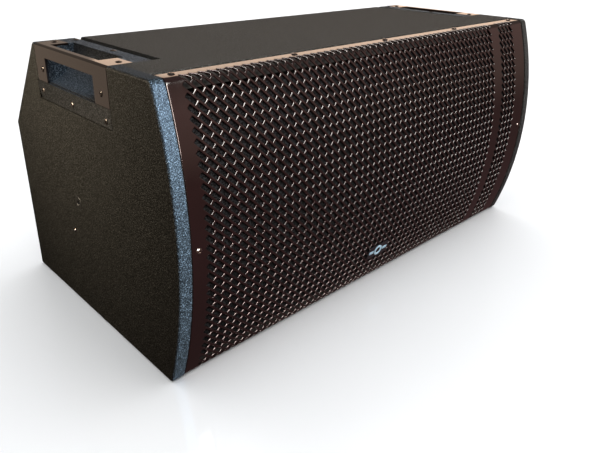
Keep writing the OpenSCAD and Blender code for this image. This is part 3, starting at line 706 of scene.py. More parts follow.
def plate_opening():
    """Recess and hole for the connector plate, cut square to the leaning rear panel."""
    lo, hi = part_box("connector_plate")
    middle = (lo + hi) / 2
    half_w, half_h = (hi.x - lo.x) / 2 + GAP, PLATE_HALF_H + GAP
    tool = prism("plate_tool", rectangle(-half_w, -half_h, half_w, half_h), along_y, -PLATE_RECESS, OVER)
    hole_w, hole_h = 50 * MM, 22 * MM
    hole = rectangle(-hole_w, -hole_h, hole_w, hole_h)
    join(tool, prism("plate_hole", hole, along_y, -PLY - OVER, 0))
    face_y = BACK_BOTTOM.x + math.tan(REAR_LEAN) * middle.z
    place = Matrix.Translation((middle.x, face_y, middle.z)) @ Matrix.Rotation(-REAR_LEAN, 4, "X")
    tool.data.transform(place)
    return tool


build_panels()


# ================================================================ grille
PITCH = 0.0155 * 2 * OUTER_X          # the holes' centres lie on a square lattice
BRICK_U = PITCH * math.sqrt(2)        # a hole and its bar, along the slanted rows
BRICK_V = PITCH / math.sqrt(2)        # across them
HOLE_HALF = (7.75 * MM, 3.25 * MM)    # half a hole's length and width
HOLE_CORNER = 1.0 * MM
END_ROUND = 0.9 * MM                  # rounding of the short bars at the holes' ends
SIDE_ROUND = 0.5 * MM                 # rounding of the long bars beside the holes
FIRST_HOLE = (-381.8 * MM, 76.27 * MM)
HOLE_COLUMNS = {*range(51), *range(53, 57)}
HOLE_ROWS = range(-21, 11)
CELL_COLUMNS = range(-4, 62)          # the whole sheet with its plain strips, before it is trimmed
CELL_ROWS = range(-25, 15)
BEND_R = 10 * MM
BEND_STEPS = 8

# half the sheet's outer line, as lengths: curve, bend, fold; the bend's centre lies BEND_R inside both
BEND_Z = MID_Z - GRILLE_INSET - BEND_R
ALPHA = math.asin(BEND_Z / (GRILLE_R - BEND_R))
BEND_Y = FRONT_AXIS_Y - (GRILLE_R - BEND_R) * math.cos(ALPHA)
CURVE_S = GRILLE_R * ALPHA
BEND_S = BEND_R * (math.pi / 2 - ALPHA)
FOLD_S = GRILLE_HI.y - BEND_Y
SHEET_S = CURVE_S + BEND_S + FOLD_S
SHEET_X = GRILLE_HI.x - 0.8 * MM
RIM_R = GRILLE_T / 2


def bent(x, s, depth):
    """Point at (x, distance s along the sheet from mid height, depth behind its face)."""
    side = 1 if s >= 0 else -1
    s = abs(s)
    if s <= CURVE_S:
        a = s / GRILLE_R
        r = GRILLE_R - depth
        y, z = FRONT_AXIS_Y - r * math.cos(a), r * math.sin(a)
    elif s <= CURVE_S + BEND_S:
        a = ALPHA + (s - CURVE_S) / BEND_R
        r = BEND_R - depth
        y, z = BEND_Y - r * math.cos(a), BEND_Z + r * math.sin(a)
    else:
        y, z = BEND_Y + s - CURVE_S - BEND_S, BEND_Z + BEND_R - depth
    return x, y, MID_Z + side * z


def hole_loop(end_grow, side_grow, depths):
    """Eight points round a hole, (u, v, depth), grown outwards at its ends and sides."""
    a, b = HOLE_HALF[0] + end_grow, HOLE_HALF[1] + side_grow
    c = HOLE_CORNER
    quarter = [(a, b - c, depths[0]), (a - c, b, depths[1])]
    signs = ((1, 1), (-1, 1), (-1, -1), (1, -1))
    loop = []
    for n, (su, sv) in enumerate(signs):
        loop += [(su * u, sv * v, d) for u, v, d in (quarter if n % 2 == 0 else quarter[::-1])]
    return loop


def brick_cell(has_hole):
    """Vertices and faces of one cell of the brick pattern, in (u, v, depth)."""
    hu, hv = BRICK_U / 2, BRICK_V / 2
    rim = [(hu, hv), (0, hv), (-hu, hv), (-hu, -hv), (0, -hv), (hu, -hv)]
    verts = [(u, v, 0) for u, v in rim] + [(u, v, GRILLE_T) for u, v in rim]
    front, back = list(range(6)), list(range(6, 12))
    if not has_hole:
        return verts, [front, back[::-1]]
    slope = 1 - math.sin(math.radians(45))
    end, side = END_ROUND * slope, SIDE_ROUND * slope
    starts = []
    for loop in (hole_loop(END_ROUND, SIDE_ROUND, (0, 0)), hole_loop(end, side, (end, side)),
                 hole_loop(0, 0, (END_ROUND, SIDE_ROUND)), hole_loop(0, 0, (GRILLE_T, GRILLE_T))):
        starts.append(len(verts))
        verts += loop
    faces = []
    for upper, lower in zip(starts, starts[1:]):
        for i in range(8):
            j = (i + 1) % 8
            faces.append([upper + i, lower + i, lower + j, upper + j])
    # triangles between the rim's six corners and the loop's eight points
    to_loop = ((0, 0, 1), (1, 1, 2), (2, 2, 3), (3, 4, 5), (4, 5, 6), (5, 6, 7), (3, 3, 4), (0, 7, 0))
    to_rim = ((0, 1, 1), (1, 2, 2), (2, 3, 3), (3, 4, 5), (4, 5, 6), (5, 0, 7))
    for ring, start, flip in ((front, starts[0], False), (back, starts[-1], True)):
        made = [[ring[corner], start + first, start + last] for corner, first, last in to_loop]
        made += [[ring[a], start + at, ring[b]] for a, b, at in to_rim]
        faces += [f[::-1] if flip else f for f in made]
    return verts, faces


def flat_sheet():
    """The sheet before it is curved: x, s and depth for each vertex, a little over its outline."""
    cells = {kind: brick_cell(kind) for kind in (False, True)}
    verts, faces = [], []
    root = math.sqrt(0.5)
    for i in CELL_COLUMNS:
        for j in CELL_ROWS:
            x0, s0 = FIRST_HOLE[0] + i * PITCH, FIRST_HOLE[1] + j * PITCH
            if abs(x0) > SHEET_X + PITCH or abs(s0) > SHEET_S + PITCH:
                continue
            cell_verts, cell_faces = cells[i in HOLE_COLUMNS and j in HOLE_ROWS]
            start = len(verts)
            verts += [(x0 + (u + v) * root, s0 + (v - u) * root, d) for u, v, d in cell_verts]
            faces += [[start + k for k in face] for face in cell_faces]
    mesh = bpy.data.meshes.new("flat_sheet")
    mesh.from_pydata(verts, [], faces)
    bm = bmesh.new()
    bm.from_mesh(mesh)
    bpy.data.meshes.remove(mesh)
    bmesh.ops.remove_doubles(bm, verts=bm.verts, dist=1e-6)
    return bm


def slice_sheet(bm, point, normal, keep_all=True):
    geometry = bm.verts[:] + bm.edges[:] + bm.faces[:]
    bmesh.ops.bisect_plane(bm, geom=geometry, dist=1e-7, plane_co=point, plane_no=normal,
                           clear_outer=not keep_all)


def rounded_rim(bm, steps=4):
    """Closes the sheet's open edge with a half-round strip from its face to its back."""
    rim = [e for e in bm.edges if e.is_boundary]
    front = [e for e in rim if all(v.co.z < RIM_R for v in e.verts)]
    made = {}

    def key(vert):
        return round(vert.co.x, 6), round(vert.co.y, 6)

    back_of = {key(v): v for e in rim for v in e.verts if v.co.z > RIM_R}

    def strip(vert):
        if key(vert) not in made:
            out = Vector((0, 0, 0))
            for axis, reach in ((0, SHEET_X), (1, SHEET_S)):
                if abs(abs(vert.co[axis]) - (reach - RIM_R)) < 1e-6:
                    out[axis] = math.copysign(1, vert.co[axis])
            out.normalize()
            line = [vert]
            for k in range(1, steps):
                a = math.pi * k / steps
                step = out * RIM_R * math.sin(a) + Vector((0, 0, RIM_R - RIM_R * math.cos(a)))
                line.append(bm.verts.new(vert.co + step))
            made[key(vert)] = line + [back_of[key(vert)]]
        return made[key(vert)]

    for e in front:
        a, b = (strip(v) for v in e.verts)
        for k in range(steps):
            bm.faces.new((a[k], b[k], b[k + 1], a[k + 1]))


def build_grille():
    """Perforated sheet, made flat, trimmed, and then bent over the cabinet."""
    bm = flat_sheet()
    for sign in (-1, 1):
        slice_sheet(bm, (sign * (SHEET_X - RIM_R), 0, 0), (sign, 0, 0), keep_all=False)
        slice_sheet(bm, (0, sign * (SHEET_S - RIM_R), 0), (0, sign, 0), keep_all=False)
    for k in range(BEND_STEPS + 1):
        for sign in (-1, 1):
            slice_sheet(bm, (0, sign * (CURVE_S + BEND_S * k / BEND_STEPS), 0), (0, 1, 0))
    rounded_rim(bm)
    for v in bm.verts:
        v.co = bent(*v.co)
    bmesh.ops.triangulate(bm, faces=[f for f in bm.faces if len(f.verts) > 4])
    bmesh.ops.recalc_face_normals(bm, faces=bm.faces)
    dress(shade(from_bmesh("grille_sheet", bm), 60), "grille_steel", "front_grille")


build_grille()


def skin(name, groups):
    """Closed sheets over sets of (i, j) cells; each group is its cells and a point (i, j, front) function."""
    bm = bmesh.new()
    for cells, point in groups:
        made = {}

        def vert(*key):
            if key not in made:
                made[key] = bm.verts.new(point(*key))
            return made[key]

        for i, j in cells:
            ring = [(i, j), (i + 1, j), (i + 1, j + 1), (i, j + 1)]
            for front in (True, False):
                bm.faces.new([vert(*at, front) for at in ring])
            for n, beside in enumerate(((i, j - 1), (i + 1, j), (i, j + 1), (i - 1, j))):
                if beside not in cells:
                    a, b = ring[n], ring[(n + 1) % 4]
                    bm.faces.new([vert(*a, True), vert(*b, True), vert(*b, False), vert(*a, False)])
    return from_bmesh(name, bm)


def build_foam():
    """Foam sheet with a lumpy open face, behind the grille and on both sides of its rib."""
    lo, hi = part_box("grille_foam")
    rib_lo, rib_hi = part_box("grille_rib")
    gap, thick, step, lumps, edge = 0.3 * MM, 5 * MM, 3.2 * MM, 1.4 * MM, 1.5 * MM
    face_r = GRILLE_R - GRILLE_T - gap
    half = math.asin((hi.z - MID_Z) / face_r)
    rows = round(2 * half * face_r / step)

    def half_sheet(x0, x1):
        columns = max(4, round((x1 - x0) / step))

        def point(i, j, front):
            x, a = x0 + (x1 - x0) * i / columns, -half + 2 * half * j / rows
            wide = noise.noise(Vector((x, a * face_r, 0)) * 260) * 0.5 + 0.5
            fine = noise.noise(Vector((x, a * face_r, 3)) * 620) * 0.5 + 0.5
            at_edge = i in (0, columns) or j in (0, rows)
            sink = (edge if at_edge else lumps * (wide + 0.5 * fine)) if front else thick
            r = face_r - sink
            return x, FRONT_AXIS_Y - r * math.cos(a), MID_Z + r * math.sin(a)

        return {(i, j) for i in range(columns) for j in range(rows)}, point

    piece = skin("foam_sheet", [half_sheet(lo.x, rib_lo.x - gap), half_sheet(rib_hi.x + gap, hi.x)])
    dress(shade(piece, 60), "open_cell_foam", "grille_foam")


build_foam()


# ================================================================ handles
def build_cup():
    """Quarter-round scoop with its flanges."""
    y0, y1 = SCOOP_Y
    drop, seam, play, corner, room = 0.5 * MM, 0.9 * MM, 0.3 * MM, 14 * MM, 80 * MM
    front, rear, low = GRIP_LO.y + seam, FLANGE_REAR - seam, FLANGE_LOW + seam
    cup = rod_y(SCOOP_R + CUP_WALL, y0 - CUP_WALL, y1 + CUP_WALL)
    keep = block((-OUTER_X + drop, y0 - OVER, HEIGHT - room),
                 (-OUTER_X + room, y1 + OVER, HEIGHT - drop))
    boolean(cup, keep, "INTERSECT")
    outline = [Vector((front, low)),
               *fillet(Vector((GRIP_LO.y, low)), Vector((rear, low)), Vector((rear, GRIP_LOW)), corner, 10),
               Vector((rear, GRIP_LOW - play)), Vector((front, GRIP_LOW - play))]
    join(cup, prism("flange", outline, along_x, -OUTER_X + drop, -OUTER_X + STEEL),
         block((GRIP_X + play, front, HEIGHT - STEEL),
               (FLANGE_TOP_X, BACK_TOP.x - 1 * MM, HEIGHT - drop)))
    cut(cup, rod_y(SCOOP_R, y0, y1),
        block((-OUTER_X - OVER, GRIP_LO.y - play, GRIP_LOW - play),
              (-OUTER_X + STEEL + play, GRIP_HI.y + play, HEIGHT + OVER)),
        block((-OUTER_X - OVER, GRIP_LO.y - play, HEIGHT - STEEL - play),
              (GRIP_X + play, GRIP_HI.y + play, HEIGHT + OVER)))
    round_edges(cup, 0.7 * MM)
    dress_both(shade(cup), "cup_paint", "handle_cup")


def build_grip():
    """Steel angle bent over the corner, with its two windows."""
    y0, y1 = SCOOP_Y
    x0, z1, bend, inner_bend = -OUTER_X, HEIGHT, 4 * MM, 1 * MM
    middle = (x0 + bend, z1 - bend)
    outline = [Vector((x0, GRIP_LOW)), *arc_points(middle, bend, math.pi, math.pi / 2, 8),
               Vector((GRIP_X, z1)), Vector((GRIP_X, z1 - STEEL)),
               *arc_points(middle, inner_bend, math.pi / 2, math.pi, 4), Vector((x0 + STEEL, GRIP_LOW))]
    grip = prism("left_grip", outline, along_y, GRIP_LO.y, GRIP_HI.y)
    cut(grip, block((x0 - OVER, y0, GRIP_LOW - OVER),
                    (x0 + STEEL + 1 * MM, y1, z1 - BAR_SIDE_H)),
        block((x0 + BAR_TOP_W, y0, z1 - STEEL - 1 * MM), (GRIP_X + OVER, y1, z1 + OVER)))
    round_edges(grip, 0.6 * MM)
    dress_both(shade(grip), "grip_steel", "corner_grip")


build_cup()
build_grip()


# ================================================================ screws, inserts, badge
def islands(node):
    """The separate solids of a CAD node, each as (lowest, highest) corner."""
    bm = bmesh.new()
    bm.from_mesh(frame["nodes"][node].data)
    bmesh.ops.remove_doubles(bm, verts=bm.verts, dist=1e-6)
    seen, found = set(), []
    for first in bm.verts:
        if first in seen:
            continue
        seen.add(first)
        group = [first]
        for vert in group:      # the group grows while it is walked
            fresh = {edge.other_vert(vert) for edge in vert.link_edges} - seen
            seen |= fresh
            group += fresh
        corners = np.array([vert.co for vert in group])
        found.append((Vector(corners.min(0)), Vector(corners.max(0))))
    bm.free()
    return found


def lathe(bm, rings, place, steps=32):
    """Skins a list of rings, (radius, height) or (radius, height, sides) for a polygon, round Z."""
    loops = []
    for ring in rings:
        radius, height, sides = ring if len(ring) == 3 else (*ring, 0)
        if radius == 0:
            loops.append([bm.verts.new(place @ Vector((0, 0, height)))])
            continue
        loop = []
        for i in range(steps):
            a = 2 * math.pi * i / steps
            r = radius
            if sides:
                step = 2 * math.pi / sides
                r = radius * math.cos(step / 2) / math.cos((a % step) - step / 2)
            loop.append(bm.verts.new(place @ Vector((r * math.cos(a), r * math.sin(a), height))))
        loops.append(loop)
    for lower, upper in zip(loops, loops[1:]):
        for i in range(steps):
            j = (i + 1) % steps
            corners = [lower[i % len(lower)], lower[j % len(lower)],
                       upper[j % len(upper)], upper[i % len(upper)]]
            unique = [v for n, v in enumerate(corners) if v not in corners[:n]]
            bm.faces.new(unique)


def turned(name, rings, place, steps):
    """One lathed piece, welded where its rings meet."""
    bm = bmesh.new()
    lathe(bm, rings, place, steps)
    bmesh.ops.remove_doubles(bm, verts=bm.verts, dist=1e-7)
    return from_bmesh(name, bm)


def frame_at(point, axis):
    """Matrix that takes local Z onto an axis at a point."""
    return Matrix.Translation(point) @ Vector(axis).to_track_quat("Z", "Y").to_matrix().to_4x4()


def button_rings(head, height, shank, length, socket):
    """Profile of a domed screw with a hexagon socket, from the shank's end to the socket's floor."""
    rings = [(0, -length), (shank * 0.8, -length), (shank, -length + 0.5 * MM), (shank, 0),
             (head * 0.96, 0), (head, height * 0.12)]
    mouth = socket * 1.22
    for k in range(1, 6):
        t = k / 5
        rings.append((head + (mouth - head) * t, height * (0.12 + 0.88 * math.sin(t * math.pi / 2))))
    rings += [(socket * 1.04, height * 0.94, 6), (socket, height * 0.88, 6),
              (socket * 0.97, height * 0.25, 6), (0, height * 0.18)]
    return rings


def button_screws(name, node, axis_of, head, height, socket, shank, sink):
    """Detailed screws in the places of a CAD node's screws."""
    bm = bmesh.new()
    for n, (lo, hi) in enumerate(islands(node)):
        middle = (lo + hi) / 2
        axis = Vector(axis_of(middle))
        extent = abs((hi - lo).dot(axis))
        top = middle + axis * (extent / 2 - height - sink)
        rings = button_rings(head, height, shank, extent - height - 0.4 * MM, socket)
        lathe(bm, rings, frame_at(top, axis) @ Matrix.Rotation(0.9 * n, 4, "Z"), steps=36)
    return shade(from_bmesh(name, bm), 35)


def build_screws():
    """Screws by node; sizes are head radius and height, socket, shank, and how far the head is sunk."""
    def sideways(point):
        return (math.copysign(1, point.x), 0, 0)

    def out_of_handle(point):
        return sideways(point) if abs(point.x) > OUTER_X - 10 * MM else (0, 0, 1)

    def out_of_grille(point):
        return (0, 0, 1) if point.z > MID_Z + 100 * MM else (0, -1, 0)

    def out_of_rear(point):
        return (0, math.cos(REAR_LEAN), -math.sin(REAR_LEAN))

    handle_sizes = (4.4, 1.2, 1.8, 2.4, 0.6)
    for name, node, axis_of, sizes, material in (
            ("grille_fixings", "grille_screws", out_of_grille, (4.5, 1.7, 1.9, 2.4, 0), SCREW_CHROME),
            ("left_handle_fixings", "left_handle_screws", out_of_handle, handle_sizes, None),
            ("right_handle_fixings", "right_handle_screws", out_of_handle, handle_sizes, None),
            ("side_studs", "side_stud_screws", sideways, (3.1, 1.3, 1.2, 1.4, 0), SCREW_CHROME),
            ("plate_fixings", "connector_plate_screws", out_of_rear, (3.9, 1.7, 1.5, 1.9, 0), None)):
        piece = button_screws(name, node, axis_of, *(size * MM for size in sizes))
        dress(piece, "screw_steel", node, material=material)


def build_inserts():
    """Steel rigging points, painted over, with a threaded bore."""
    lo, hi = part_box("left_rigging_insert")
    centre = (lo + hi) / 2
    bore, outer, barrel, pitch, groove = 3.45 * MM, 11 * MM, 6.4 * MM, 1.2 * MM, 0.45 * MM
    rings = [(bore, -PLY), (barrel, -PLY), (barrel, -2 * MM), (outer, -2 * MM), (outer, -0.5 * MM),
             (outer - 0.5 * MM, 0), (outer - 1.6 * MM, -0.05 * MM), (outer - 2.4 * MM, 0.0),
             (bore + 1.0 * MM, 0), (bore + 0.5 * MM, -0.3 * MM)]
    depth = -1.0 * MM
    while depth > -PLY + pitch:
        rings += [(bore, depth), (bore + groove, depth - pitch / 2)]
        depth -= pitch
    rings.append((bore, -PLY))
    place = frame_at(Vector((-OUTER_X, centre.y, centre.z)), (-1, 0, 0))
    dress_both(shade(turned("left_insert", rings, place, 48), 30), "insert_steel", "rigging_insert")


def slab(name, half_w, half_h, corner, low, high, edge):
    """Plate with rounded corners and softened edges, flat in local XY."""
    corners = rectangle(-half_w, -half_h, half_w, half_h)
    outline = []
    for i, point in enumerate(corners):
        outline += fillet(corners[i - 1], point, corners[(i + 1) % 4], corner)
    return round_edges(prism(name, outline, along_z, low, high), edge, steps=2)


def build_badge():
    """Small plate with a ring between two bars, lying against the grille."""
    lo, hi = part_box("badge")
    centre = (lo + hi) / 2
    tilt = math.asin((centre.z - MID_Z) / GRILLE_R)
    place = (Matrix.Translation((centre.x, FRONT_AXIS_Y, MID_Z)) @ Matrix.Rotation(-tilt, 4, "X")
             @ Matrix.Translation((0, -GRILLE_R - 0.3 * MM, 0)) @ Matrix.Rotation(math.pi / 2, 4, "X"))
    plate = slab("badge_plate", 26 * MM, 12 * MM, 3 * MM, 0, 1.0 * MM, 0.3 * MM)
    plate.data.transform(place)
    dress(shade(plate), "badge_enamel", "badge")
    inner, outer, low, high, ease = 5.5 * MM, 9.8 * MM, 0.8 * MM, 1.5 * MM, 0.3 * MM
    rings = [(inner, low), (inner, high - 0.2 * MM), (inner + ease, high), (outer - ease, high),
             (outer, high - 0.2 * MM), (outer, low), (inner, low)]
    ring = turned("badge_ring", rings, place, 48)
    for side in (-1, 1):
        bar = slab("bar", 5.5 * MM, 2.6 * MM, 0.8 * MM, low, high, 0.2 * MM)
        bar.data.transform(place @ Matrix.Translation((side * 17.5 * MM, 0, 0)))
        absorb(ring, bar)
    dress(shade(ring), "badge_enamel", material=BADGE_SILVER)


build_screws()
build_inserts()
build_badge()


# ================================================================ rear connectors and lining
def build_connectors():
    """Recessed plate with two round locking sockets."""
    thick, rise, ease = 2.5 * MM, 2 * MM, 1 * MM
    body_r, body_l, bore_r, bore_l, flange = 13.5 * MM, 26 * MM, 11 * MM, 16 * MM, 16 * MM
    key_w, key_l, key_h = 1.4 * MM, 7 * MM, 1.5 * MM
    lo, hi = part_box("connector_plate")
    middle = (lo + hi) / 2
    # local Z points out of the panel, local Y up it
    place = (LEANING @ Matrix.Translation((middle.x, 0, middle.z)) @ Matrix.Rotation(-math.pi / 2, 4, "X")
             @ Matrix.Translation((0, 0, -PLATE_RECESS)))
    plate = slab("rear_plate", 64.8 * MM, PLATE_HALF_H - 0.2 * MM, 3 * MM, 0, thick, ease / 2)
    plate.data.transform(place)
    top, low = thick + rise, thick - body_l
    hole_r, mouth_r = body_r + 0.3 * MM, bore_r + 0.8 * MM
    for node, name in (("input_socket", "input_connector"), ("link_socket", "link_connector")):
        at = place.copy()
        lo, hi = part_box(node)
        at.translation.x = (lo.x + hi.x) / 2
        cut(plate, turned("socket_hole", [(0, -OVER), (hole_r, -OVER), (hole_r, OVER), (0, OVER)], at, 64))
        piece = slab(name, flange, flange, 4 * MM, thick, top, ease / 2)
        join(piece, turned("barrel", [(0, low), (body_r - ease, low), (body_r, low + ease),
                                      (body_r, thick + ease / 2), (0, thick + ease / 2)], Matrix(), 64))
        cut(piece, turned("bore", [(0, top - bore_l), (bore_r, top - bore_l), (bore_r, top - 0.8 * MM),
                                   (mouth_r, top), (mouth_r, top + OVER), (0, top + OVER)], Matrix(), 64))
        for turn in (0, 130, 230):
            key = block((-key_w, bore_r - ease, top - key_l), (key_w, bore_r + key_h, top + OVER))
            key.data.transform(Matrix.Rotation(math.radians(turn), 4, "Z"))
            cut(piece, key)
        piece.data.transform(at)
        dress(shade(piece, 35), "socket_plastic", node)
    dress(shade(plate), "plate_paint", "connector_plate")


def quilt(x0, x1, u0, u1, gap):
    """Sheet of wadding inside the leaning panel, puffed up and soft at its edges: its cells and points."""
    step, base, swell, soft, lumps, lift = 5 * MM, 6 * MM, 12.5 * MM, 16 * MM, 3 * MM, 0.2 * MM
    nx, nu = round((x1 - x0) / step), round((u1 - u0) / step)
    xs, us = np.linspace(x0, x1, nx + 1), np.linspace(u0, u1, nu + 1)

    def outside(x, u):
        """How far a point lies outside the gap."""
        dx, du = max(gap[0] - x, x - gap[1]), max(gap[2] - u, u - gap[3])
        return math.hypot(max(dx, 0), max(du, 0)) if max(dx, du) > 0 else max(dx, du)

    def point(i, j, front):
        x, u = xs[i], us[j]
        edge = max(0, min(x - x0, x1 - x, u - u0, u1 - u, outside(x, u)))
        rise = 1 - (1 - min(edge / soft, 1)) ** 2
        lump = noise.noise(Vector((x, u, 0)) * 26) + 0.5 * noise.noise(Vector((x, u, 4)) * 90)
        depth = base + rise * (swell - lumps + lumps * max(-1, min(1, lump))) if front else lift
        return LEANING @ Vector((x, -PLY - depth, u))

    kept = {(i, j) for i in range(nx) for j in range(nu)
            if all(outside(xs[a], us[b]) >= 0 for a in (i, i + 1) for b in (j, j + 1))}
    return kept, point


def build_lining():
    """Wadding behind the woofers, notched round the connector plate."""
    lo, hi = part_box("connector_plate")
    middle = (lo.z + hi.z) / 2
    gap = (lo.x, hi.x, middle - PLATE_HALF_H, middle + PLATE_HALF_H)
    low, high = 30 * MM, 235 * MM
    sheets = [quilt(a.x, b.x, low, high, gap) for a, b in islands("damping_lining")]
    piece = skin("wadding_sheets", sheets)
    dress(shade(piece, 70), "wadding", "damping_lining")


build_connectors()
build_lining()


# ================================================================ woofer suspension
def suspension(name, node, slot, cone_body, centre, rings, inner, outer):
    """Ring of cloth between the cone and the basket; its weights run outwards from the coil's axis."""
    piece = shade(turned(name, rings + rings[:1], frame_at(centre, (0, 1, 0)), 144), 60)
    piece.data.materials.append(SLOT_MATERIALS[slot])
    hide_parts(node)
    start, end = centre + Vector((inner, 0, 0)), centre + Vector((outer, 0, 0))
    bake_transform(piece, cone_body, "cabinet", start, end)
    weights = piece.data.attributes["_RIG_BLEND"].data
    for vert, weight in zip(piece.data.vertices, weights):
        reach = math.hypot(vert.co.x - centre.x, vert.co.z - centre.z)
        t = max(0, min(1, (reach - inner) / (outer - inner)))
        weight.value = t * t * (3 - 2 * t)


def surround_rings():
    """A lip glued to the cone, a half roll, and a lip held on the basket."""
    roll, roll_r, skin, seat = 126.25 * MM, 8.3 * MM, 1.1 * MM, -6.5 * MM
    first, last, face, back = 116.95 * MM, 142.4 * MM, -7 * MM, -6 * MM
    arc = np.linspace(math.pi, 0, 19)[1:-1]

    def rolled(radius, angles):
        return [(roll + radius * math.cos(a), seat - radius * math.sin(a)) for a in angles]

    return [(first, face), (roll - roll_r, face), *rolled(roll_r, arc), (roll + roll_r, face), (last, face),
            (last, back), (roll + roll_r - skin, back), *rolled(roll_r - skin, arc[::-1]),
            (roll - roll_r + skin, back), (first, back)]


def spider_rings():
    """Corrugated cloth between the coil and the basket."""
    first, last, waves, middle, swing, cloth = 39 * MM, 93.5 * MM, 5, 57 * MM, 0.8 * MM, 0.7 * MM
    line = []
    for r in np.linspace(first, last, 81):
        line.append((r, middle + swing * math.sin(2 * math.pi * waves * (r - first) / (last - first))))
    return [(r, z - cloth / 2) for r, z in line] + [(r, z + cloth / 2) for r, z in line[::-1]]


for side in ("left", "right"):
    cone_lo, cone_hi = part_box(side + "_woofer_cone")
    coil_axis = Vector(((cone_lo.x + cone_hi.x) / 2, cone_lo.y + 6 * MM, (cone_lo.z + cone_hi.z) / 2))
    for kind, rings, inner, outer in (("surround", surround_rings(), 118 * MM, 134 * MM),
                                      ("spider", spider_rings(), 40 * MM, 92 * MM)):
        suspension(f"{side}_{kind}", f"{side}_woofer_{kind}", kind + "_cloth", side + "_cone_assembly",
                   coil_axis, rings, inner, outer)


# ================================================================ stage
def build_stage():
    """White studio floor with an even, faint mirror, just below the cabinet."""
    half, top, bottom, mirror_share = 16, -0.0004, -0.05, 0.18
    floor = prism("floor", rectangle(-half, -half, half, half), along_z, bottom, top)
    s = Shader("floor", specular=0.0)
    s.finish(s.noise(3), [(0.3, (0.80, 0.82, 0.84)), (0.7, (0.81, 0.83, 0.85))], s.noise(6), 0.8, 0.9)
    mirror = s.node("ShaderNodeBsdfGlossy")
    mirror.inputs["Roughness"].default_value = 0.07
    mirror.inputs["Color"].default_value = (0.9, 0.95, 1.0, 1)
    blend = s.node("ShaderNodeMixShader")
    blend.inputs["Fac"].default_value = mirror_share
    s.link(s.shader.outputs["BSDF"], blend.inputs[1])
    s.link(mirror.outputs["BSDF"], blend.inputs[2])
    s.link(blend.outputs["Shader"], s.tree.nodes["Material Output"].inputs["Surface"])
    floor.data.materials.append(s.material)
    floor.visible_glossy = False
    floor.visible_diffuse = False
    floor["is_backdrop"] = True
    return floor


def soft_light(name, direction, distance, size, power, colour, target):
    """Area light that faces the cabinet from a direction."""
    data = bpy.data.lights.new(name, "AREA")
    data.shape = "RECTANGLE"
    data.size, data.size_y = size
    data.energy = power
    data.color = colour
    lamp = add_object(name, data)
    toward = Vector(direction).normalized()
    lamp.matrix_world = (Matrix.Translation(Vector(target) + toward * distance)
                         @ toward.to_track_quat("Z", "Y").to_matrix().to_4x4())
    lamp.visible_camera = False
    return lamp


def sky_light(name, strength, angle, tilt=0):
    """Even light from a wide overhead bank that no glossy part mirrors."""
    data = bpy.data.lights.new(name, "SUN")
    data.energy = strength
    data.angle = math.radians(angle)
    bank = add_object(name, data)
    bank.rotation_euler = (0, math.radians(tilt), 0)
    bank.visible_glossy = False
    return bank


# sky colours by height, from straight down at 0 to straight up at 1
GLOW = [(0.0, (0.09, 0.045, 0.045)), (0.40, (0.13, 0.07, 0.065)), (0.48, (0.22, 0.15, 0.12)),
        (0.54, (0.42, 0.32, 0.26)), (0.59, (0.50, 0.39, 0.32)), (0.62, (0.34, 0.28, 0.23)),
        (0.65, (0.12, 0.10, 0.09)), (1.0, (0.09, 0.09, 0.09))]
DIM = [(0.0, (0.06, 0.035, 0.035)), (0.27, (0.12, 0.065, 0.065)), (0.42, (0.11, 0.065, 0.06)),
       (0.50, (0.28, 0.19, 0.16)), (0.60, (0.40, 0.25, 0.22)), (0.68, (0.16, 0.13, 0.11)),
       (1.0, (0.09, 0.09, 0.09))]
OLIVE = [(0.0, (0.006, 0.007, 0.008)), (0.35, (0.012, 0.012, 0.012)), (0.47, (0.08, 0.07, 0.055)),
         (0.56, (0.22, 0.18, 0.14)), (1.0, (0.06, 0.06, 0.06))]


def build_world():
    """Warm glow low in the right rear and left front, olive at the left, dim above; white to the camera."""
    world = bpy.data.worlds.new("studio")
    bpy.context.scene.world = world
    world.use_nodes = True
    nodes, link = world.node_tree.nodes, world.node_tree.links.new

    def ranged(source, low, high=1.0):
        made = nodes.new("ShaderNodeMapRange")
        made.inputs["From Min"].default_value = low
        made.inputs["From Max"].default_value = high
        link(source, made.inputs["Value"])
        return made.outputs["Result"]

    def maths(operation, *sources):
        made = nodes.new("ShaderNodeMath")
        made.operation = operation
        for source, socket in zip(sources, made.inputs):
            link(source, socket)
        return made.outputs["Value"]

    def mixed(share, first, second=None):
        """Second colour over the first by a share; white where there is no second."""
        made = nodes.new("ShaderNodeMix")
        made.data_type = "RGBA"
        below, above = [socket for socket in made.inputs if socket.type == "RGBA"]
        link(share, made.inputs["Factor"])
        link(first, below)
        if second is None:
            above.default_value = (1, 1, 1, 1)
        else:
            link(second, above)
        return [socket for socket in made.outputs if socket.type == "RGBA"][0]

    split = nodes.new("ShaderNodeSeparateXYZ")
    link(nodes.new("ShaderNodeTexCoord").outputs["Generated"], split.inputs["Vector"])
    x, y, height = split.outputs["X"], split.outputs["Y"], ranged(split.outputs["Z"], -1)

    def sky(stops):
        made = set_ramp(nodes.new("ShaderNodeValToRGB"), stops)
        link(height, made.inputs["Fac"])
        return made.outputs["Color"]

    colour = mixed(ranged(maths("ABSOLUTE", maths("ADD", y, x)), 0.6, 1.15), sky(DIM), sky(GLOW))
    colour = mixed(ranged(maths("SUBTRACT", y, x), 0.3, 0.9), colour, sky(OLIVE))
    colour = mixed(nodes.new("ShaderNodeLightPath").outputs["Is Camera Ray"], colour)
    link(colour, nodes["Background"].inputs["Color"])
    bpy.context.scene.view_settings.view_transform = "Standard"


def link_light(lamp, things, state):
    """Keeps a lamp's light off some objects, or on those objects alone."""
    group = bpy.data.collections.new("lit_by_" + lamp.name)
    for thing in things:
        group.objects.link(thing)
    lamp.light_linking.receiver_collection = group
    for entry in group.collection_objects:
        entry.light_linking.link_state = state


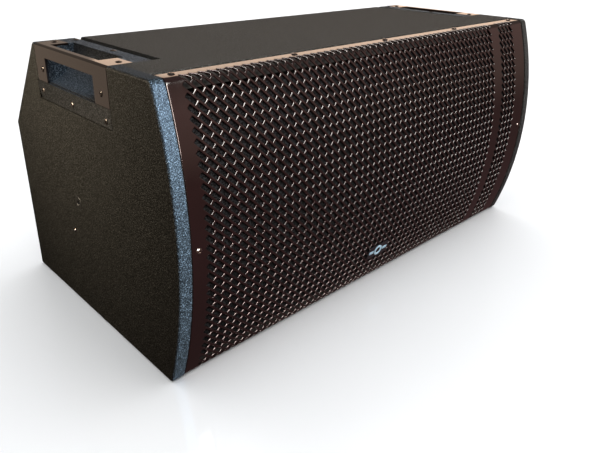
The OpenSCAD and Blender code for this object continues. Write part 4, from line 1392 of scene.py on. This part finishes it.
def named(*starts):
    """The pieces whose names start with one of these."""
    return [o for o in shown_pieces() if o.name.startswith(starts)]


WINDOW, NEUTRAL, WARM, PINK = (0.50, 0.73, 1.0), (1.0, 0.97, 0.92), (1.0, 0.84, 0.62), (1.0, 0.80, 0.74)
RUST, AMBER = (1.0, 0.70, 0.50), (1.0, 0.74, 0.56)
MIDDLE, TOP_FRONT, LEFT_SIDE, LEFT_CUP, LEFT_GRIP = (
    (0, 0, 0.2), (0, -0.2, 0.41), (-0.43, 0.10, 0.36), (-0.43, 0, 0.35), (-0.43, 0, 0.37))
WARM_FILL_SPREAD = math.radians(52)
LEFT_END = ("left_side", "left_cup", "left_grip")
GLOSSY = ("grille_sheet", "left_grip", "right_grip", "grille_fixings", "left_handle_fix")
# name, direction, distance, size, power, colour, target, and the pieces that alone get or miss the light
LAMPS = (
    ("window_left", (0.1, -0.93, 0.36), 2.6, (1.0, 1.0), 420, WINDOW, MIDDLE, "INCLUDE", ("left_side",)),
    ("window_right", (0.1, -0.92, 0.38), 2.6, (1.0, 1.0), 40, WINDOW, MIDDLE, "INCLUDE", ("right_side",)),
    ("window_cups", (0.0, -0.5, 0.86), 2.6, (1.0, 1.0), 140, WINDOW, MIDDLE, "INCLUDE",
     ("left_cup", "right_cup")),
    ("key", (-0.15, -0.76, 0.62), 2.6, (2.6, 1.0), 140, NEUTRAL, MIDDLE, "EXCLUDE", LEFT_END),
    ("far_card", (2.7, 2.68, 1.3), 4.0, (3.8, 2.4), 30, RUST, TOP_FRONT, "INCLUDE", GLOSSY),
    ("rim_card", (-0.9, -0.35, 0.25), 1.8, (1.6, 0.8), 90, PINK, MIDDLE, "INCLUDE", ("grille_sheet",)),
    ("warm_fill", (-0.87, 0.25, 0.30), 0.93, (0.3, 0.2), 1.8, WARM, LEFT_SIDE, "EXCLUDE",
     ("left_grip", "left_cup", "top")),
    ("cup_card", (-0.80, 0.55, -0.25), 0.9, (0.6, 0.4), 4, WARM, LEFT_CUP, "INCLUDE", ("left_cup",)),
    ("grip_card", (-0.57, 0.85, -0.15), 1.1, (1.1, 0.6), 0.8, AMBER, LEFT_GRIP, "INCLUDE",
     ("left_grip", "left_handle_fix")),
)

floor = build_stage()
build_world()
for *settings, state, starts in LAMPS:
    # the floor misses every light that some pieces miss
    lit = named(*starts) + ([floor] if state == "EXCLUDE" else [])
    link_light(soft_light(*settings), lit, state)
bpy.data.lights["warm_fill"].spread = WARM_FILL_SPREAD
link_light(sky_light("floor_bank", 5.15, 110, 12), [floor], "INCLUDE")
link_light(sky_light("overhead_bank", 4.2, 100), [floor] + named("left_side"), "EXCLUDE")
